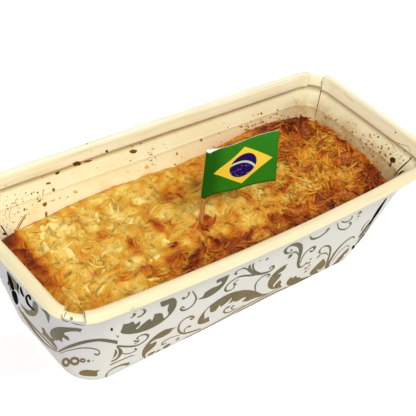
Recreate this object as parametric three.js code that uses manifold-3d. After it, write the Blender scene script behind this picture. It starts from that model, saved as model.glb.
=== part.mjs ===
// A cassava coconut cake baked in its paper loaf case, with a small paper flag on a pick.
// Millimetres, +Z up. X runs along the case, the front long side faces -Y.
// The origin is the middle of the case's floor, on its underside.

import * as THREE from 'three';
import Module from 'manifold-3d';
import { ImprovedNoise } from 'three/addons/math/ImprovedNoise.js';
import { mergeVertices } from 'three/addons/utils/BufferGeometryUtils.js';

// Paper case
const BASE_LENGTH = 158;
const BASE_WIDTH = 55;
const RIM_LENGTH = 197.2;
const RIM_WIDTH = 79;
const RIM_HEIGHT = 56.3;
const CREASE_HEIGHT = 44;
const CREASE_REACH = 0.735;
const BOARD = 0.7;
const BASE_CORNER = 13;
const RIM_CORNER = 12;
const BASE_EDGE = 1.4;
const FRONT_BOW = 3.9;
const ROLL_RADIUS = 2.65;
const ROLL_FLANK_HEIGHT = 51.5;
const PINCH_SCALE = 0.68;
const PINCH_DROP = 0.5;
const PINCH_START = 0.3;
const PINCH_END = 0.7;
const PINCH_STEP = 0.025;

// Cake
const GAP = 0.3;
const CAKE_LEVEL = 35.3;
const LEFT_DROP = 5.6;
const RIGHT_RISE = 3.6;
const LUMP_HEIGHT = 2.2;
const CRUMB_HEIGHT = 1.5;
const TOP_EDGE_DROP = 1.8;
const TOP_INSETS = [1.2, 4.6, 8.4, 12.4, 16.4, 20.4, 24.4, 28.4];
const CAKE_SIDE_STATIONS = 40;
const CAKE_END_STATIONS = 13;
const EDGE_CLEAR = 3;
const SHRED_CELL = 10;
const SHRED_SEED = 41;

// Pick and flag
const PICK_LENGTH = 65;
const PICK_RADIUS = 1;
const PICK_POINT = 7;
const PICK_SEGMENTS = 12;
const FLAG_FOOT = new THREE.Vector3(-6.02, -1.71, 49.3);
const PICK_LEAN = new THREE.Vector3(-0.088, 0.006, 1).normalize();
const FLAG_YAW = THREE.MathUtils.degToRad(-11.8);
const FLAG_HOIST = 24.2;
const FLAG_FLY = 33.2;
const FLAG_PAPER = 0.36;
const FLAG_SLEEVE = 0.35;
const FLAG_TWIST = Math.tan(THREE.MathUtils.degToRad(9));
const FLAG_WAVE = 1.3;
const FLAG_WAVE_LENGTH = 30;
const FLAG_COLUMNS = 14;
const FLAG_ROWS = 4;

const SIDE_STATIONS = 17;
const END_STATIONS = 6;
const CORNER_TURNS = [0, 0.1, 0.2, PINCH_START, PINCH_START + PINCH_STEP, 0.5,
  PINCH_END - PINCH_STEP, PINCH_END, 0.8, 0.9];

const MERGE = 1e-4;

const wasm = await Module();
wasm.setup();
const noise = new ImprovedNoise();

function seededRandom(seed) {
  let state = seed;
  return () => {
    state = (state * 1664525 + 1013904223) % 4294967296;
    return state / 4294967296;
  };
}

// How far the wall has leant out at height z: 0 at the floor, 1 at the roll's centre.
function wallReach(z) {
  if (z < CREASE_HEIGHT) return CREASE_REACH * z / CREASE_HEIGHT;
  return CREASE_REACH + (1 - CREASE_REACH) * (z - CREASE_HEIGHT) / (RIM_HEIGHT - CREASE_HEIGHT);
}

// Half length, half width, corner radius and front bow of the wall's middle line at height z.
function wallLoop(z) {
  const reach = wallReach(z);
  return {
    length: THREE.MathUtils.lerp(BASE_LENGTH, RIM_LENGTH, reach) / 2,
    width: THREE.MathUtils.lerp(BASE_WIDTH, RIM_WIDTH, reach) / 2,
    corner: THREE.MathUtils.lerp(BASE_CORNER, RIM_CORNER, reach),
    bow: FRONT_BOW * reach * reach,
  };
}

// Stations round a rounded rectangle, counter-clockwise from the front left corner's end.
// Each has a corner, how far it has turned in it, or how far it has run along the side after it.
function makeStations(sideCount, endCount, turns) {
  const stations = [];
  for (let corner = 0; corner < 4; corner++) {
    for (const turn of turns) stations.push({ corner, turn, run: 0 });
    const count = corner % 2 === 0 ? sideCount : endCount;
    for (let i = 0; i < count; i++) stations.push({ corner, turn: 1, run: i / count });
  }
  return stations;
}

// The point of a loop at one station. Corner 0 is front left, 1 front right, 2 back right.
function loopPoint(loop, station, z) {
  const radius = Math.max(loop.corner, 0.6);
  const signX = [-1, 1, 1, -1];
  const signY = [-1, -1, 1, 1];
  const cornerPoint = (corner, turn) => {
    const angle = Math.PI + (corner + turn) * Math.PI / 2;
    const x = signX[corner] * (loop.length - radius) + radius * Math.cos(angle);
    const y = signY[corner] * (loop.width - radius) + radius * Math.sin(angle);
    return new THREE.Vector3(x, y, z);
  };
  const point = cornerPoint(station.corner, station.turn);
  if (station.run > 0) point.lerp(cornerPoint((station.corner + 1) % 4, 0), station.run);
  if (point.y < 0) {
    const along = Math.min(1, Math.abs(point.x) / loop.length);
    const atFront = THREE.MathUtils.smoothstep(-point.y, 0, loop.width);
    point.y -= loop.bow * (1 - along * along) * atFront;
  }
  return point;
}

// A closed skin over rings of equal counts, its first and last rings capped by fans.
// A last ring that has closed on a line needs no cap, and its flattened faces are dropped.
function closedLoft(rings, lastIsClosed = false) {
  const count = rings[0].length;
  const positions = [];
  for (const ring of rings) {
    for (const point of ring) positions.push(point.x, point.y, point.z);
  }
  const index = [];
  for (let r = 0; r + 1 < rings.length; r++) {
    for (let i = 0; i < count; i++) {
      const a = r * count + i;
      const b = r * count + (i + 1) % count;
      index.push(a, b, b + count, a, b + count, a + count);
    }
  }
  const capped = (ring, start, flip) => {
    const middle = new THREE.Vector3();
    for (const point of ring) middle.addScaledVector(point, 1 / count);
    const centre = positions.length / 3;
    positions.push(middle.x, middle.y, middle.z);
    for (let i = 0; i < count; i++) {
      const a = start + i;
      const b = start + (i + 1) % count;
      if (flip) index.push(centre, b, a);
      else index.push(centre, a, b);
    }
  };
  capped(rings[0], 0, true);
  if (!lastIsClosed) capped(rings[rings.length - 1], (rings.length - 1) * count, false);
  const geometry = new THREE.BufferGeometry();
  geometry.setAttribute('position', new THREE.Float32BufferAttribute(positions, 3));
  geometry.setIndex(index);
  return dropFlatFaces(mergeVertices(geometry, MERGE));
}

// Leaves out the faces that have two corners in one place.
function dropFlatFaces(geometry) {
  const index = geometry.index.array;
  const kept = [];
  for (let i = 0; i < index.length; i += 3) {
    const [a, b, c] = [index[i], index[i + 1], index[i + 2]];
    if (a !== b && b !== c && c !== a) kept.push(a, b, c);
  }
  geometry.setIndex(kept);
  return geometry;
}

function toManifold(geometry) {
  const bare = geometry.clone();
  bare.deleteAttribute('normal');
  bare.deleteAttribute('uv');
  const merged = mergeVertices(bare, MERGE);
  return new wasm.Manifold(new wasm.Mesh({
    numProp: 3,
    vertProperties: new Float32Array(merged.attributes.position.array),
    triVerts: new Uint32Array(merged.index.array),
  }));
}

function fromManifold(solid) {
  const mesh = solid.getMesh();
  const geometry = new THREE.BufferGeometry();
  geometry.setAttribute('position', new THREE.BufferAttribute(mesh.vertProperties, 3));
  geometry.setIndex(new THREE.BufferAttribute(mesh.triVerts, 1));
  return geometry;
}

// The largest connected skin alone: pockets sealed under a fused piece are filled by this.
function keepOuterSkin(geometry) {
  const index = geometry.index.array;
  const parent = Array.from({ length: geometry.attributes.position.count }, (_, i) => i);
  const root = (i) => {
    while (parent[i] !== i) {
      parent[i] = parent[parent[i]];
      i = parent[i];
    }
    return i;
  };
  for (let i = 0; i < index.length; i += 3) {
    parent[root(index[i])] = root(index[i + 1]);
    parent[root(index[i + 1])] = root(index[i + 2]);
  }
  const skins = new Map();
  for (let i = 0; i < index.length; i += 3) {
    const key = root(index[i]);
    if (!skins.has(key)) skins.set(key, []);
    skins.get(key).push(index[i], index[i + 1], index[i + 2]);
  }
  const largest = [...skins.values()].reduce((a, b) => (a.length > b.length ? a : b));
  geometry.setIndex(largest);
  return geometry;
}

// The case's section, from under the floor, up outside, over the roll and down inside.
// Each step is a height and a distance out from the wall's middle line.
function caseSection(pinch) {
  const skin = BOARD / 2;
  const radius = ROLL_RADIUS * (pinch ? PINCH_SCALE : 1);
  const centre = RIM_HEIGHT - (pinch ? PINCH_DROP : 0);
  const steps = [
    { z: 0, out: -BASE_EDGE },
    { z: BASE_EDGE / 2, out: skin },
    { z: CREASE_HEIGHT / 2, out: skin },
    { z: CREASE_HEIGHT, out: skin },
    { z: centre - radius, out: skin },
  ];
  for (const degrees of [-70, -35, 0, 35, 70, 105, 140, 175, 210]) {
    const angle = THREE.MathUtils.degToRad(degrees);
    steps.push({ z: centre + radius * Math.sin(angle), out: radius * Math.cos(angle) });
  }
  steps.push({ z: ROLL_FLANK_HEIGHT, out: -skin });
  steps.push({ z: CREASE_HEIGHT, out: -skin });
  steps.push({ z: CREASE_HEIGHT / 2, out: -skin });
  steps.push({ z: BOARD, out: -skin - BASE_EDGE / 2 });
  return steps;
}

function makePaperCase() {
  const stations = makeStations(SIDE_STATIONS, END_STATIONS, CORNER_TURNS);
  const rolled = caseSection(false);
  const pinched = caseSection(true);
  const rings = rolled.map((_, level) => stations.map((station) => {
    const inPinch = station.turn > PINCH_START && station.turn < PINCH_END;
    const step = (inPinch ? pinched : rolled)[level];
    const loop = wallLoop(Math.min(step.z, RIM_HEIGHT));
    loop.length += step.out;
    loop.width += step.out;
    loop.corner += step.out;
    return loopPoint(loop, station, step.z);
  }));
  return closedLoft(rings);
}

// The cake's top: lower at the left end, higher at the right, lumpy all over.
function cakeTop(x, y) {
  const left = THREE.MathUtils.smoothstep(-x, 42, 92);
  const right = THREE.MathUtils.smoothstep(x, 12, 66);
  const lumps = noise.noise(x / 13, y / 11, 3.7) * LUMP_HEIGHT;
  const crumbs = noise.noise(x / 4.6, y / 4.6, 8.2) * CRUMB_HEIGHT;
  return CAKE_LEVEL - LEFT_DROP * left + RIGHT_RISE * right + lumps + crumbs;
}

function cakeLoop(z, inset) {
  const loop = wallLoop(z);
  const clear = BOARD / 2 + GAP + inset;
  loop.length -= clear;
  loop.width -= clear;
  loop.corner -= clear;
  return loop;
}

function makeCakeBody() {
  const stations = makeStations(CAKE_SIDE_STATIONS, CAKE_END_STATIONS, [0, 0.25, 0.5, 0.75]);
  const edges = stations.map((station) => {
    const rough = loopPoint(cakeLoop(CAKE_LEVEL, 0), station, 0);
    return cakeTop(rough.x, rough.y) - TOP_EDGE_DROP;
  });
  const floor = BOARD + GAP;
  const rings = [0, 0.5, 1].map((part) => stations.map((station, i) => {
    const z = THREE.MathUtils.lerp(floor, edges[i], part);
    const inset = part === 0 ? BASE_EDGE : 0;
    return loopPoint(cakeLoop(z, inset), station, z);
  }));
  const inward = (inset) => stations.map((station, i) => {
    const point = loopPoint(cakeLoop(edges[i], inset), station, 0);
    const nearEdge = Math.max(0, 1 - inset / 4);
    point.z = cakeTop(point.x, point.y) - TOP_EDGE_DROP * nearEdge * nearEdge;
    return point;
  });
  for (const inset of TOP_INSETS) rings.push(inward(inset));
  const ridge = cakeLoop(CAKE_LEVEL, 0);
  rings.push(stations.map((station) => {
    const point = loopPoint(ridge, { ...station, turn: station.run > 0 ? 1 : station.turn }, 0);
    const end = ridge.length - ridge.width;
    const x = THREE.MathUtils.clamp(point.x * end / (ridge.length - ridge.corner), -end, end);
    return new THREE.Vector3(x, 0, cakeTop(x, 0));
  }));
  return toManifold(closedLoft(rings, true));
}

// A flat strip that lies on the cake's top, bent sideways, its ends a little lifted.
function makeShred({ x, y, heading, length, width, thick, bend, lift }) {
  const along = new THREE.Vector3(Math.cos(heading), Math.sin(heading), 0);
  const side = new THREE.Vector3(-along.y, along.x, 0);
  const steps = 3;
  const path = [];
  for (let i = 0; i <= steps; i++) {
    const t = 2 * i / steps - 1;
    const point = new THREE.Vector3(x, y, 0);
    point.addScaledVector(along, t * length / 2).addScaledVector(side, bend * t * t);
    point.z = cakeTop(point.x, point.y) + thick * 0.45 + lift * Math.abs(t) ** 3;
    path.push(point);
  }
  const rings = path.map((point, i) => {
    const tangent = path[Math.min(i + 1, steps)].clone().sub(path[Math.max(i - 1, 0)]).normalize();
    const across = new THREE.Vector3().crossVectors(tangent, new THREE.Vector3(0, 0, 1)).normalize();
    const up = new THREE.Vector3().crossVectors(across, tangent);
    const narrow = i === 0 || i === steps ? 0.6 : 1;
    const corners = [[-1, -1], [1, -1], [1, 1], [-1, 1]];
    return corners.map(([u, v]) => point.clone()
      .addScaledVector(up, u * thick / 2)
      .addScaledVector(across, v * width * narrow / 2));
  });
  return toManifold(closedLoft(rings));
}

// How browned the crust is at a place, from 0 to 1: browned parts carry more shreds.
function browning(x, y) {
  const rightEnd = THREE.MathUtils.smoothstep(x, 20, 80);
  const front = THREE.MathUtils.smoothstep(-y, 8, 30) * THREE.MathUtils.smoothstep(x, -60, -10);
  const leftEnd = THREE.MathUtils.smoothstep(-x, 66, 88);
  return Math.min(1, Math.max(rightEnd, front * 0.8, leftEnd * 0.6));
}

// Whether a place on the top is at least the given inset from the cake's edge.
function insideTop(x, y, inset) {
  const loop = cakeLoop(CAKE_LEVEL - LEFT_DROP / 2, inset);
  const overX = Math.max(0, Math.abs(x) - (loop.length - loop.corner));
  const overY = Math.max(0, Math.abs(y) - (loop.width - loop.corner));
  return Math.hypot(overX, overY) < loop.corner;
}

// Moves a shred towards the middle until both its ends lie on the cake.
function pullInside(shred) {
  const endX = Math.cos(shred.heading) * shred.length / 2;
  const endY = Math.sin(shred.heading) * shred.length / 2;
  const onTop = () => insideTop(shred.x + endX, shred.y + endY, EDGE_CLEAR)
    && insideTop(shred.x - endX, shred.y - endY, EDGE_CLEAR);
  while (!onTop()) {
    shred.x *= 0.98;
    shred.y *= 0.95;
  }
  return shred;
}

// One shred to a cell of a grid over the top, the broad flakes before the fine shreds.
function layShreds() {
  const random = seededRandom(SHRED_SEED);
  const shreds = [];
  const pickAt = pickPointAt(CAKE_LEVEL);
  for (let x = -80; x <= 84; x += SHRED_CELL) {
    for (let y = -27; y <= 27; y += SHRED_CELL) {
      const place = { x: x + (random() - 0.5) * 6, y: y + (random() - 0.5) * 6 };
      const flake = random() < 0.3;
      const chance = random();
      const heading = random() * Math.PI;
      const size = random();
      const bend = (random() - 0.5) * 5;
      const lift = 0.2 + 0.8 * random();
      const brown = browning(place.x, place.y);
      if (chance > 0.55 + 0.45 * brown) continue;
      if (Math.hypot(place.x - pickAt.x, place.y - pickAt.y) < 10) continue;
      shreds.push(pullInside({
        ...place, heading, bend, lift,
        length: flake ? 8 + 5 * size : 9 + 7 * size,
        width: flake ? 4.2 : 1.9,
        thick: flake ? 1.2 : 1.3,
      }));
    }
  }
  return shreds.sort((a, b) => b.length * b.width - a.length * a.width);
}

// The point on the pick's axis at height z.
function pickPointAt(z) {
  return FLAG_FOOT.clone().addScaledVector(PICK_LEAN, (z - FLAG_FOOT.z) / PICK_LEAN.z);
}

function pickTop() {
  return FLAG_FOOT.clone().addScaledVector(PICK_LEAN, FLAG_HOIST - 0.4);
}

function pickFrame() {
  return new THREE.Quaternion().setFromUnitVectors(new THREE.Vector3(0, 0, 1), PICK_LEAN);
}

// A pick standing on its point along local +Z, wider or longer by the clearance given.
function pickGeometry(clearance) {
  const radius = PICK_RADIUS + clearance;
  const profile = [
    new THREE.Vector2(0, -PICK_LENGTH - clearance),
    new THREE.Vector2(0.25 + clearance, -PICK_LENGTH - clearance),
    new THREE.Vector2(radius, PICK_POINT - PICK_LENGTH),
    new THREE.Vector2(radius, -0.4),
    new THREE.Vector2(radius - 0.3, 0),
    new THREE.Vector2(0, 0),
  ];
  const lathe = new THREE.LatheGeometry(profile, PICK_SEGMENTS);
  lathe.rotateX(Math.PI / 2);
  return lathe;
}

function makeCake() {
  let solid = makeCakeBody();
  for (const shred of layShreds()) solid = solid.add(makeShred(shred));
  const hole = pickGeometry(GAP);
  hole.applyQuaternion(pickFrame());
  hole.translate(...pickTop().toArray());
  return keepOuterSkin(fromManifold(solid.subtract(toManifold(hole))));
}

// The flag's outline seen down the pick: a sleeve round the pick and one waving sheet.
function makeFlag() {
  const inner = PICK_RADIUS + GAP;
  const outer = inner + FLAG_SLEEVE;
  const half = FLAG_PAPER / 2;
  const joint = Math.asin(half / outer);
  const outline = new THREE.Shape();
  outline.moveTo(FLAG_FLY, -half);
  outline.lineTo(FLAG_FLY, half);
  for (let i = FLAG_COLUMNS - 1; i > 0; i--) outline.lineTo(outer + (FLAG_FLY - outer) * i / FLAG_COLUMNS, half);
  outline.absarc(0, 0, outer, joint, 2 * Math.PI - joint, false);
  for (let i = 1; i < FLAG_COLUMNS; i++) outline.lineTo(outer + (FLAG_FLY - outer) * i / FLAG_COLUMNS, -half);
  const bore = new THREE.Path();
  bore.absarc(0, 0, inner, 0, 2 * Math.PI, true);
  outline.holes.push(bore);
  const flag = new THREE.ExtrudeGeometry(outline, {
    depth: FLAG_HOIST, steps: FLAG_ROWS, curveSegments: 9, bevelEnabled: false,
  });
  const points = flag.attributes.position;
  for (let i = 0; i < points.count; i++) {
    const x = points.getX(i);
    const free = THREE.MathUtils.smoothstep(x, outer, FLAG_FLY / 2);
    const wave = -FLAG_WAVE * free * Math.sin(2 * Math.PI * (x - outer) / FLAG_WAVE_LENGTH);
    const twist = FLAG_TWIST * free * (points.getZ(i) - FLAG_HOIST / 2) * x / FLAG_FLY;
    points.setY(i, points.getY(i) + wave + twist);
  }
  return flag;
}

function flagFrame() {
  const fly = new THREE.Vector3(Math.cos(FLAG_YAW), Math.sin(FLAG_YAW), 0);
  fly.addScaledVector(PICK_LEAN, -fly.dot(PICK_LEAN)).normalize();
  const face = new THREE.Vector3().crossVectors(PICK_LEAN, fly);
  const matrix = new THREE.Matrix4().makeBasis(fly, face, PICK_LEAN);
  return new THREE.Quaternion().setFromRotationMatrix(matrix);
}

function named(name, geometry, color, roughness) {
  const material = new THREE.MeshStandardMaterial({ color, roughness, metalness: 0 });
  const mesh = new THREE.Mesh(geometry, material);
  mesh.name = name;
  return mesh;
}

const cassavaCake = new THREE.Group();

cassavaCake.add(named('paper_case', makePaperCase(), 0xe6e0cc, 0.6));
cassavaCake.add(named('cake', makeCake(), 0xc98b3c, 0.55));

const pick = named('flag_stick', pickGeometry(0), 0xc99a66, 0.7);
pick.position.copy(pickTop());
pick.quaternion.copy(pickFrame());
cassavaCake.add(pick);

const flag = named('flag', makeFlag(), 0x2c7a24, 0.6);
flag.position.copy(FLAG_FOOT);
flag.quaternion.copy(flagFrame());
cassavaCake.add(flag);

export default cassavaCake;
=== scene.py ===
import math
import random

import bmesh
import bpy
import numpy as np
from mathutils import Matrix, Vector, geometry, noise
from mathutils.bvhtree import BVHTree


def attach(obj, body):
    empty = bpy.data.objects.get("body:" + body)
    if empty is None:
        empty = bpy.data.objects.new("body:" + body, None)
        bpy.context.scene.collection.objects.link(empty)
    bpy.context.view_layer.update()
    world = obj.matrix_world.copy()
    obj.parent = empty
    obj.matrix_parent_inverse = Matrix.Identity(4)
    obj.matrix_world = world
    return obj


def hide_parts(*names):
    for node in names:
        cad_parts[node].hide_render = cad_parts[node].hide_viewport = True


# A cassava coconut cake in its printed paper loaf case, with a small paper flag on a pick.
# Sizes are millimetres in the model's frame, and every mesh is made in metres from them.

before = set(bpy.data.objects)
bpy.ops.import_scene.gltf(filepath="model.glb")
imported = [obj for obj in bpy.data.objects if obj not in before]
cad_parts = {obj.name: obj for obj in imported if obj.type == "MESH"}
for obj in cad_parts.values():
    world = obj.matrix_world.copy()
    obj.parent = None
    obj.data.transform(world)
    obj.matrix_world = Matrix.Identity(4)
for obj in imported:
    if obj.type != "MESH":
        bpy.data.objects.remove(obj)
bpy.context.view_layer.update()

MM = 0.001

# Paper case, as in the model
BASE_LENGTH, BASE_WIDTH = 158, 55
RIM_LENGTH, RIM_WIDTH = 197.2, 79
RIM_HEIGHT = 56.3
CREASE_HEIGHT = 44
CREASE_REACH = 0.735
BOARD = 0.7
BASE_CORNER, RIM_CORNER = 13, 12
SMALLEST_CORNER = 0.6
BASE_EDGE = 1.4
FRONT_BOW = 3.9
ROLL_RADIUS = 2.65
ROLL_STEPS = 26
ROLL_FROM, ROLL_TO = -72, 232
PINCH_SCALE = 0.68
PINCH_DROP = 0.5
PINCH_WHITE = 0.27
PINCH_TURN = math.radians(27)
CUT_GAP_TURN = math.radians(1.6)
PINCH_STEPS = 5
SIDE_SHARES = 56
END_SHARES = 24
ROLL_CORNER_STEPS = 8
WALL_ROWS = 16
INNER_ROWS = (50, 48, 46, 44.9, 44.35, CREASE_HEIGHT, 43.6, 42, 39, 36, 33, 28, 20, 10, 2)
CREASE_GROOVE = 0.22
BUCKLE = 0.22
FOLD_PLACE = (85, -33)
FOLD_INWARD = (-0.68, 0.73)
FOLD_REACH = (8, 21)
FOLD_HEIGHTS = (0, 15, 25, 35, 44, 50, 53)
FOLD_DEPTHS = (0, 0.2, 0.7, 1.8, 2.5, 1.2, 0)

# Cake
GAP = 0.3
CAKE_LEVEL = 35.3
LEFT_DROP = 5.6
RIGHT_RISE = 3.6
BACK_EDGE = ((-88, 31), (-70, 33.4), (-56, 34.5), (-33, 36.5), (-10, 36.4), (9, 35.7),
             (27, 36), (52, 40), (68, 40.1), (78, 38.8), (88, 37.4))
RIGHT_EDGE = ((-30, 37), (-21, 37.6), (-14, 40.4), (-1, 41), (15, 40.9), (27, 38.2), (33, 37.4))
EDGE_FALL = 15
CAKE_END, END_DROP, EDGE_DROP = 88, 3.5, 0.5
MODEL_SHARE = (0.994, 0.985)
MODEL_FROM, MODEL_DEEPEST, MODEL_MISSED = 80, 5, 1.8
SIDE_STEPS, SIDE_LEAN, SIDE_BROWNED = (0.12, 0.35, 0.7, 1.0), 0.7, 0.15
EDGE_RELIEF, EDGE_BAND, HALF_WIDTH = 0.3, 5, 30
GRAIN_HEIGHT, PIT_DEPTH = 0.16, 0.55
PAINTED_SHADE_BLUR, PAINTED_SHADE_FROM, PAINTED_SHADE_SPAN = 5, 0.05, 0.42
PEAK_BLUR, PEAK_SPAN = 14, 0.9
TOP_COLUMNS = 420
TOP_ROWS = 156
CAD_SMOOTHING = 5

# Pick and flag
PICK_AROUND = 24
PICK_PROFILE = ((-65, 0.12), (-63, 0.42), (-58, 0.95), (-40, 0.98), (-30, 1.0), (-15, 0.97),
                (-5, 0.99), (-0.35, 0.97), (0, 0.7))
PICK_CLEAR = 0.2
PICK_IN_CAKE = (-7.0, -1.8)
FLAG_FOOT = Vector((-6.02, -1.71, 49.3))
PICK_LEAN = Vector((-0.088, 0.006, 1)).normalized()
FLAG_YAW = math.radians(-11.8)
FLAG_HOIST = 24.2
FLAG_FLY = 33.2
FLAG_PAPER = 0.16
FLAG_BORE_GAP = 0.14
FLAG_TOP_CLOSED = 0.5
FLAG_SLEEVE_RADIUS = 1.24
FLAG_JOINT = math.radians(52)
FLAG_SWELL = (-1.5, 6)
FLAG_TWIST = math.tan(math.radians(9))
FLAG_WAVE = 0.5
FLAG_WAVE_LENGTH = 30
FLAG_COLUMNS, FLAG_WRAP, FLAG_ROWS, FLAG_BORE = 44, 26, 24, 20
DISC_MIDDLE = (17.0, 11.7)
DISC_RADIUS, DISC_FLATTENED = 6.6, 1.16
RHOMBUS_HALF = (14.0, 9.2)
BAND_CENTRE = (-2.8, -8.5)
BAND_RADIUS, BAND_HALF = 10.7, 0.48
PRINT_EDGE = 0.12

# The photograph's view: a 416 pixel square frame, the camera's place, its aim and its roll
PHOTO_SIZE = 416
PHOTO_FOCAL = 1050
CAMERA_PLACE = Vector((-254.645, -232.715, 314.640))
CAMERA_AZIMUTH = math.radians(47.5426)
CAMERA_ELEVATION = math.radians(38.5752)
CAMERA_ROLL = math.radians(12.0375)
SENSOR = 36


# Small helpers

def lerp(a, b, share):
    return a + (b - a) * share


def smoothstep(value, low, high):
    share = np.clip((value - low) / (high - low), 0, 1)
    return share * share * (3 - 2 * share)


def wave(x, y, along, across, layer):
    """Soft noise at a place, by the size of its grain along and across, from about -1 to 1."""
    return noise.noise(Vector((x / along, y / across, layer)))


def spline(points, per_span):
    """Places along a Catmull-Rom curve through the points."""
    knots = np.array([points[0], *points, points[-1]], float)
    made = []
    for k in range(1, len(knots) - 2):
        before, start, end, after = knots[k - 1:k + 3]
        for t in np.arange(per_span) / per_span:
            made.append(0.5 * (2 * start + (end - before) * t
                               + (2 * before - 5 * start + 4 * end - after) * t ** 2
                               + (3 * start - before - 3 * end + after) * t ** 3))
    return np.array([*made, knots[-1]])


def turns(count):
    """Angles evenly round a circle."""
    return [2 * math.pi * k / count for k in range(count)]


def band(first, second, closed=True):
    """Faces between two rows of points, each row given as its points' numbers."""
    count = len(first)
    return [(first[k], first[(k + 1) % count], second[(k + 1) % count], second[k])
            for k in range(count if closed else count - 1)]


def fan(centre, ring):
    return [(centre, ring[k], ring[(k + 1) % len(ring)]) for k in range(len(ring))]


def flipped(faces):
    """The same faces turned over, each from the same first corner."""
    return [(face[0], *reversed(face[1:])) for face in faces]


def ring_numbers(base, row, wide):
    return range(base + row * wide, base + (row + 1) * wide)


def tube(base, rows, wide):
    """Faces round a tube whose rings of points follow each other from a base number."""
    return [face for r in range(rows - 1)
            for face in band(ring_numbers(base, r, wide), ring_numbers(base, r + 1, wide))]


def linked(name, data):
    piece = bpy.data.objects.new(name, data)
    bpy.context.scene.collection.objects.link(piece)
    return piece


def mesh_object(name, points, faces, materials, smooth=True, face_materials=None):
    """An object at the origin with its mesh in metres, from points in millimetres."""
    mesh = bpy.data.meshes.new(name)
    mesh.from_pydata([tuple(float(c) * MM for c in p) for p in points], [], faces)
    for material in materials:
        mesh.materials.append(material)
    mesh.polygons.foreach_set("use_smooth", [smooth] * len(mesh.polygons))
    if face_materials is not None:
        mesh.polygons.foreach_set("material_index", face_materials)
    mesh.update()
    return linked(name, mesh)


def point_attributes(mesh, **fields):
    for name, values in fields.items():
        attribute = mesh.attributes.new(name, "FLOAT", "POINT")
        attribute.data.foreach_set("value", np.asarray(values, np.float32))


def surface_tree(piece):
    return BVHTree.FromPolygons([v.co / MM for v in piece.data.vertices],
                                [p.vertices[:] for p in piece.data.polygons])


def rework(mesh, change):
    """Changes a mesh by a function that is given it for editing."""
    work = bmesh.new()
    work.from_mesh(mesh)
    work.verts.ensure_lookup_table()
    change(work)
    work.to_mesh(mesh)
    work.free()


def face_outwards(work):
    bmesh.ops.recalc_face_normals(work, faces=work.faces)


# Camera

def camera_axes():
    """The camera's right, up and forward directions."""
    flat = math.cos(CAMERA_ELEVATION)
    forward = Vector((math.sin(CAMERA_AZIMUTH) * flat, math.cos(CAMERA_AZIMUTH) * flat,
                      -math.sin(CAMERA_ELEVATION)))
    level = forward.cross(Vector((0, 0, 1))).normalized()
    upright = level.cross(forward)
    right = level * math.cos(CAMERA_ROLL) + upright * math.sin(CAMERA_ROLL)
    up = upright * math.cos(CAMERA_ROLL) - level * math.sin(CAMERA_ROLL)
    return right, up, forward


def photo_ray(pixel):
    """Where a photograph pixel looks, as a direction from the camera's place."""
    right, up, forward = camera_axes()
    middle = PHOTO_SIZE / 2
    return (right * (pixel[0] - middle) - up * (pixel[1] - middle)
            + forward * PHOTO_FOCAL).normalized()


def make_camera():
    right, up, forward = camera_axes()
    data = bpy.data.cameras.new("photo_camera")
    data.sensor_width = SENSOR
    data.lens = PHOTO_FOCAL / PHOTO_SIZE * SENSOR
    data.clip_start = 0.02
    camera = linked("photo_camera", data)
    turn = Matrix((right, up, -forward)).transposed()
    camera.matrix_world = Matrix.Translation(CAMERA_PLACE * MM) @ turn.to_4x4()
    bpy.context.scene.camera = camera


# Node helpers

def feed(node, inputs):
    """Sets a node's inputs to plain values, or links them to other nodes' sockets."""
    for key, value in inputs.items():
        value = getattr(value, "socket", value)
        if isinstance(value, bpy.types.NodeSocket):
            node.id_data.links.new(value, node.inputs[key])
        else:
            node.inputs[key].default_value = value


def add_node(tree, kind, inputs=None, **settings):
    node = tree.nodes.new(kind)
    for key, value in settings.items():
        setattr(node, key, value)
    feed(node, inputs or {})
    return node


class Value:
    """What a socket puts out, so that sums and products of it are written plainly."""

    def __init__(self, socket):
        self.socket = socket

    def math(self, operation, other=0.0, clamp=False):
        return Value(add_node(self.socket.id_data, "ShaderNodeMath", {0: self, 1: other},
                              operation=operation, use_clamp=clamp).outputs[0])

    def __add__(self, other):
        return self.math("ADD", other)

    def __sub__(self, other):
        return self.math("SUBTRACT", other)

    def __mul__(self, other):
        return self.math("MULTIPLY", other)

    def __truediv__(self, other):
        return self.math("DIVIDE", other)

    def __abs__(self):
        return self.math("ABSOLUTE")

    def remap(self, low, high, to_low=0.0, to_high=1.0):
        return Value(add_node(self.socket.id_data, "ShaderNodeMapRange", {
            "Value": self, "From Min": low, "From Max": high, "To Min": to_low,
            "To Max": to_high}, interpolation_type="SMOOTHSTEP").outputs[0])


def named_values(sockets):
    return {socket.name: Value(socket) for socket in sockets}


def noise_texture(tree, vector, scale, detail=3.0, roughness=0.5, distortion=0.0):
    return Value(add_node(tree, "ShaderNodeTexNoise", {
        "Vector": vector, "Scale": scale, "Detail": detail, "Roughness": roughness,
        "Distortion": distortion}).outputs[0])


def mix_colors(tree, factor, first, second, blend="MIX"):
    return add_node(tree, "ShaderNodeMix", {0: factor, 6: first, 7: second},
                    data_type="RGBA", blend_type=blend).outputs[2]


def object_coordinates(tree):
    return add_node(tree, "ShaderNodeTexCoord").outputs["Object"]


def parts_of(tree, vector):
    return [Value(part) for part in add_node(tree, "ShaderNodeSeparateXYZ", {0: vector}).outputs]


def vector_of(tree, x=0.0, y=0.0, z=0.0):
    return add_node(tree, "ShaderNodeCombineXYZ", {0: x, 1: y, 2: z}).outputs[0]


def length_of(tree, x, y):
    return Value(add_node(tree, "ShaderNodeVectorMath", {0: vector_of(tree, x, y)},
                          operation="LENGTH").outputs["Value"])


def mapped(tree, vector, **changes):
    return add_node(tree, "ShaderNodeMapping", {"Vector": vector, **changes}).outputs[0]


def attribute_value(tree, name):
    return Value(add_node(tree, "ShaderNodeAttribute", attribute_name=name).outputs["Fac"])


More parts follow.
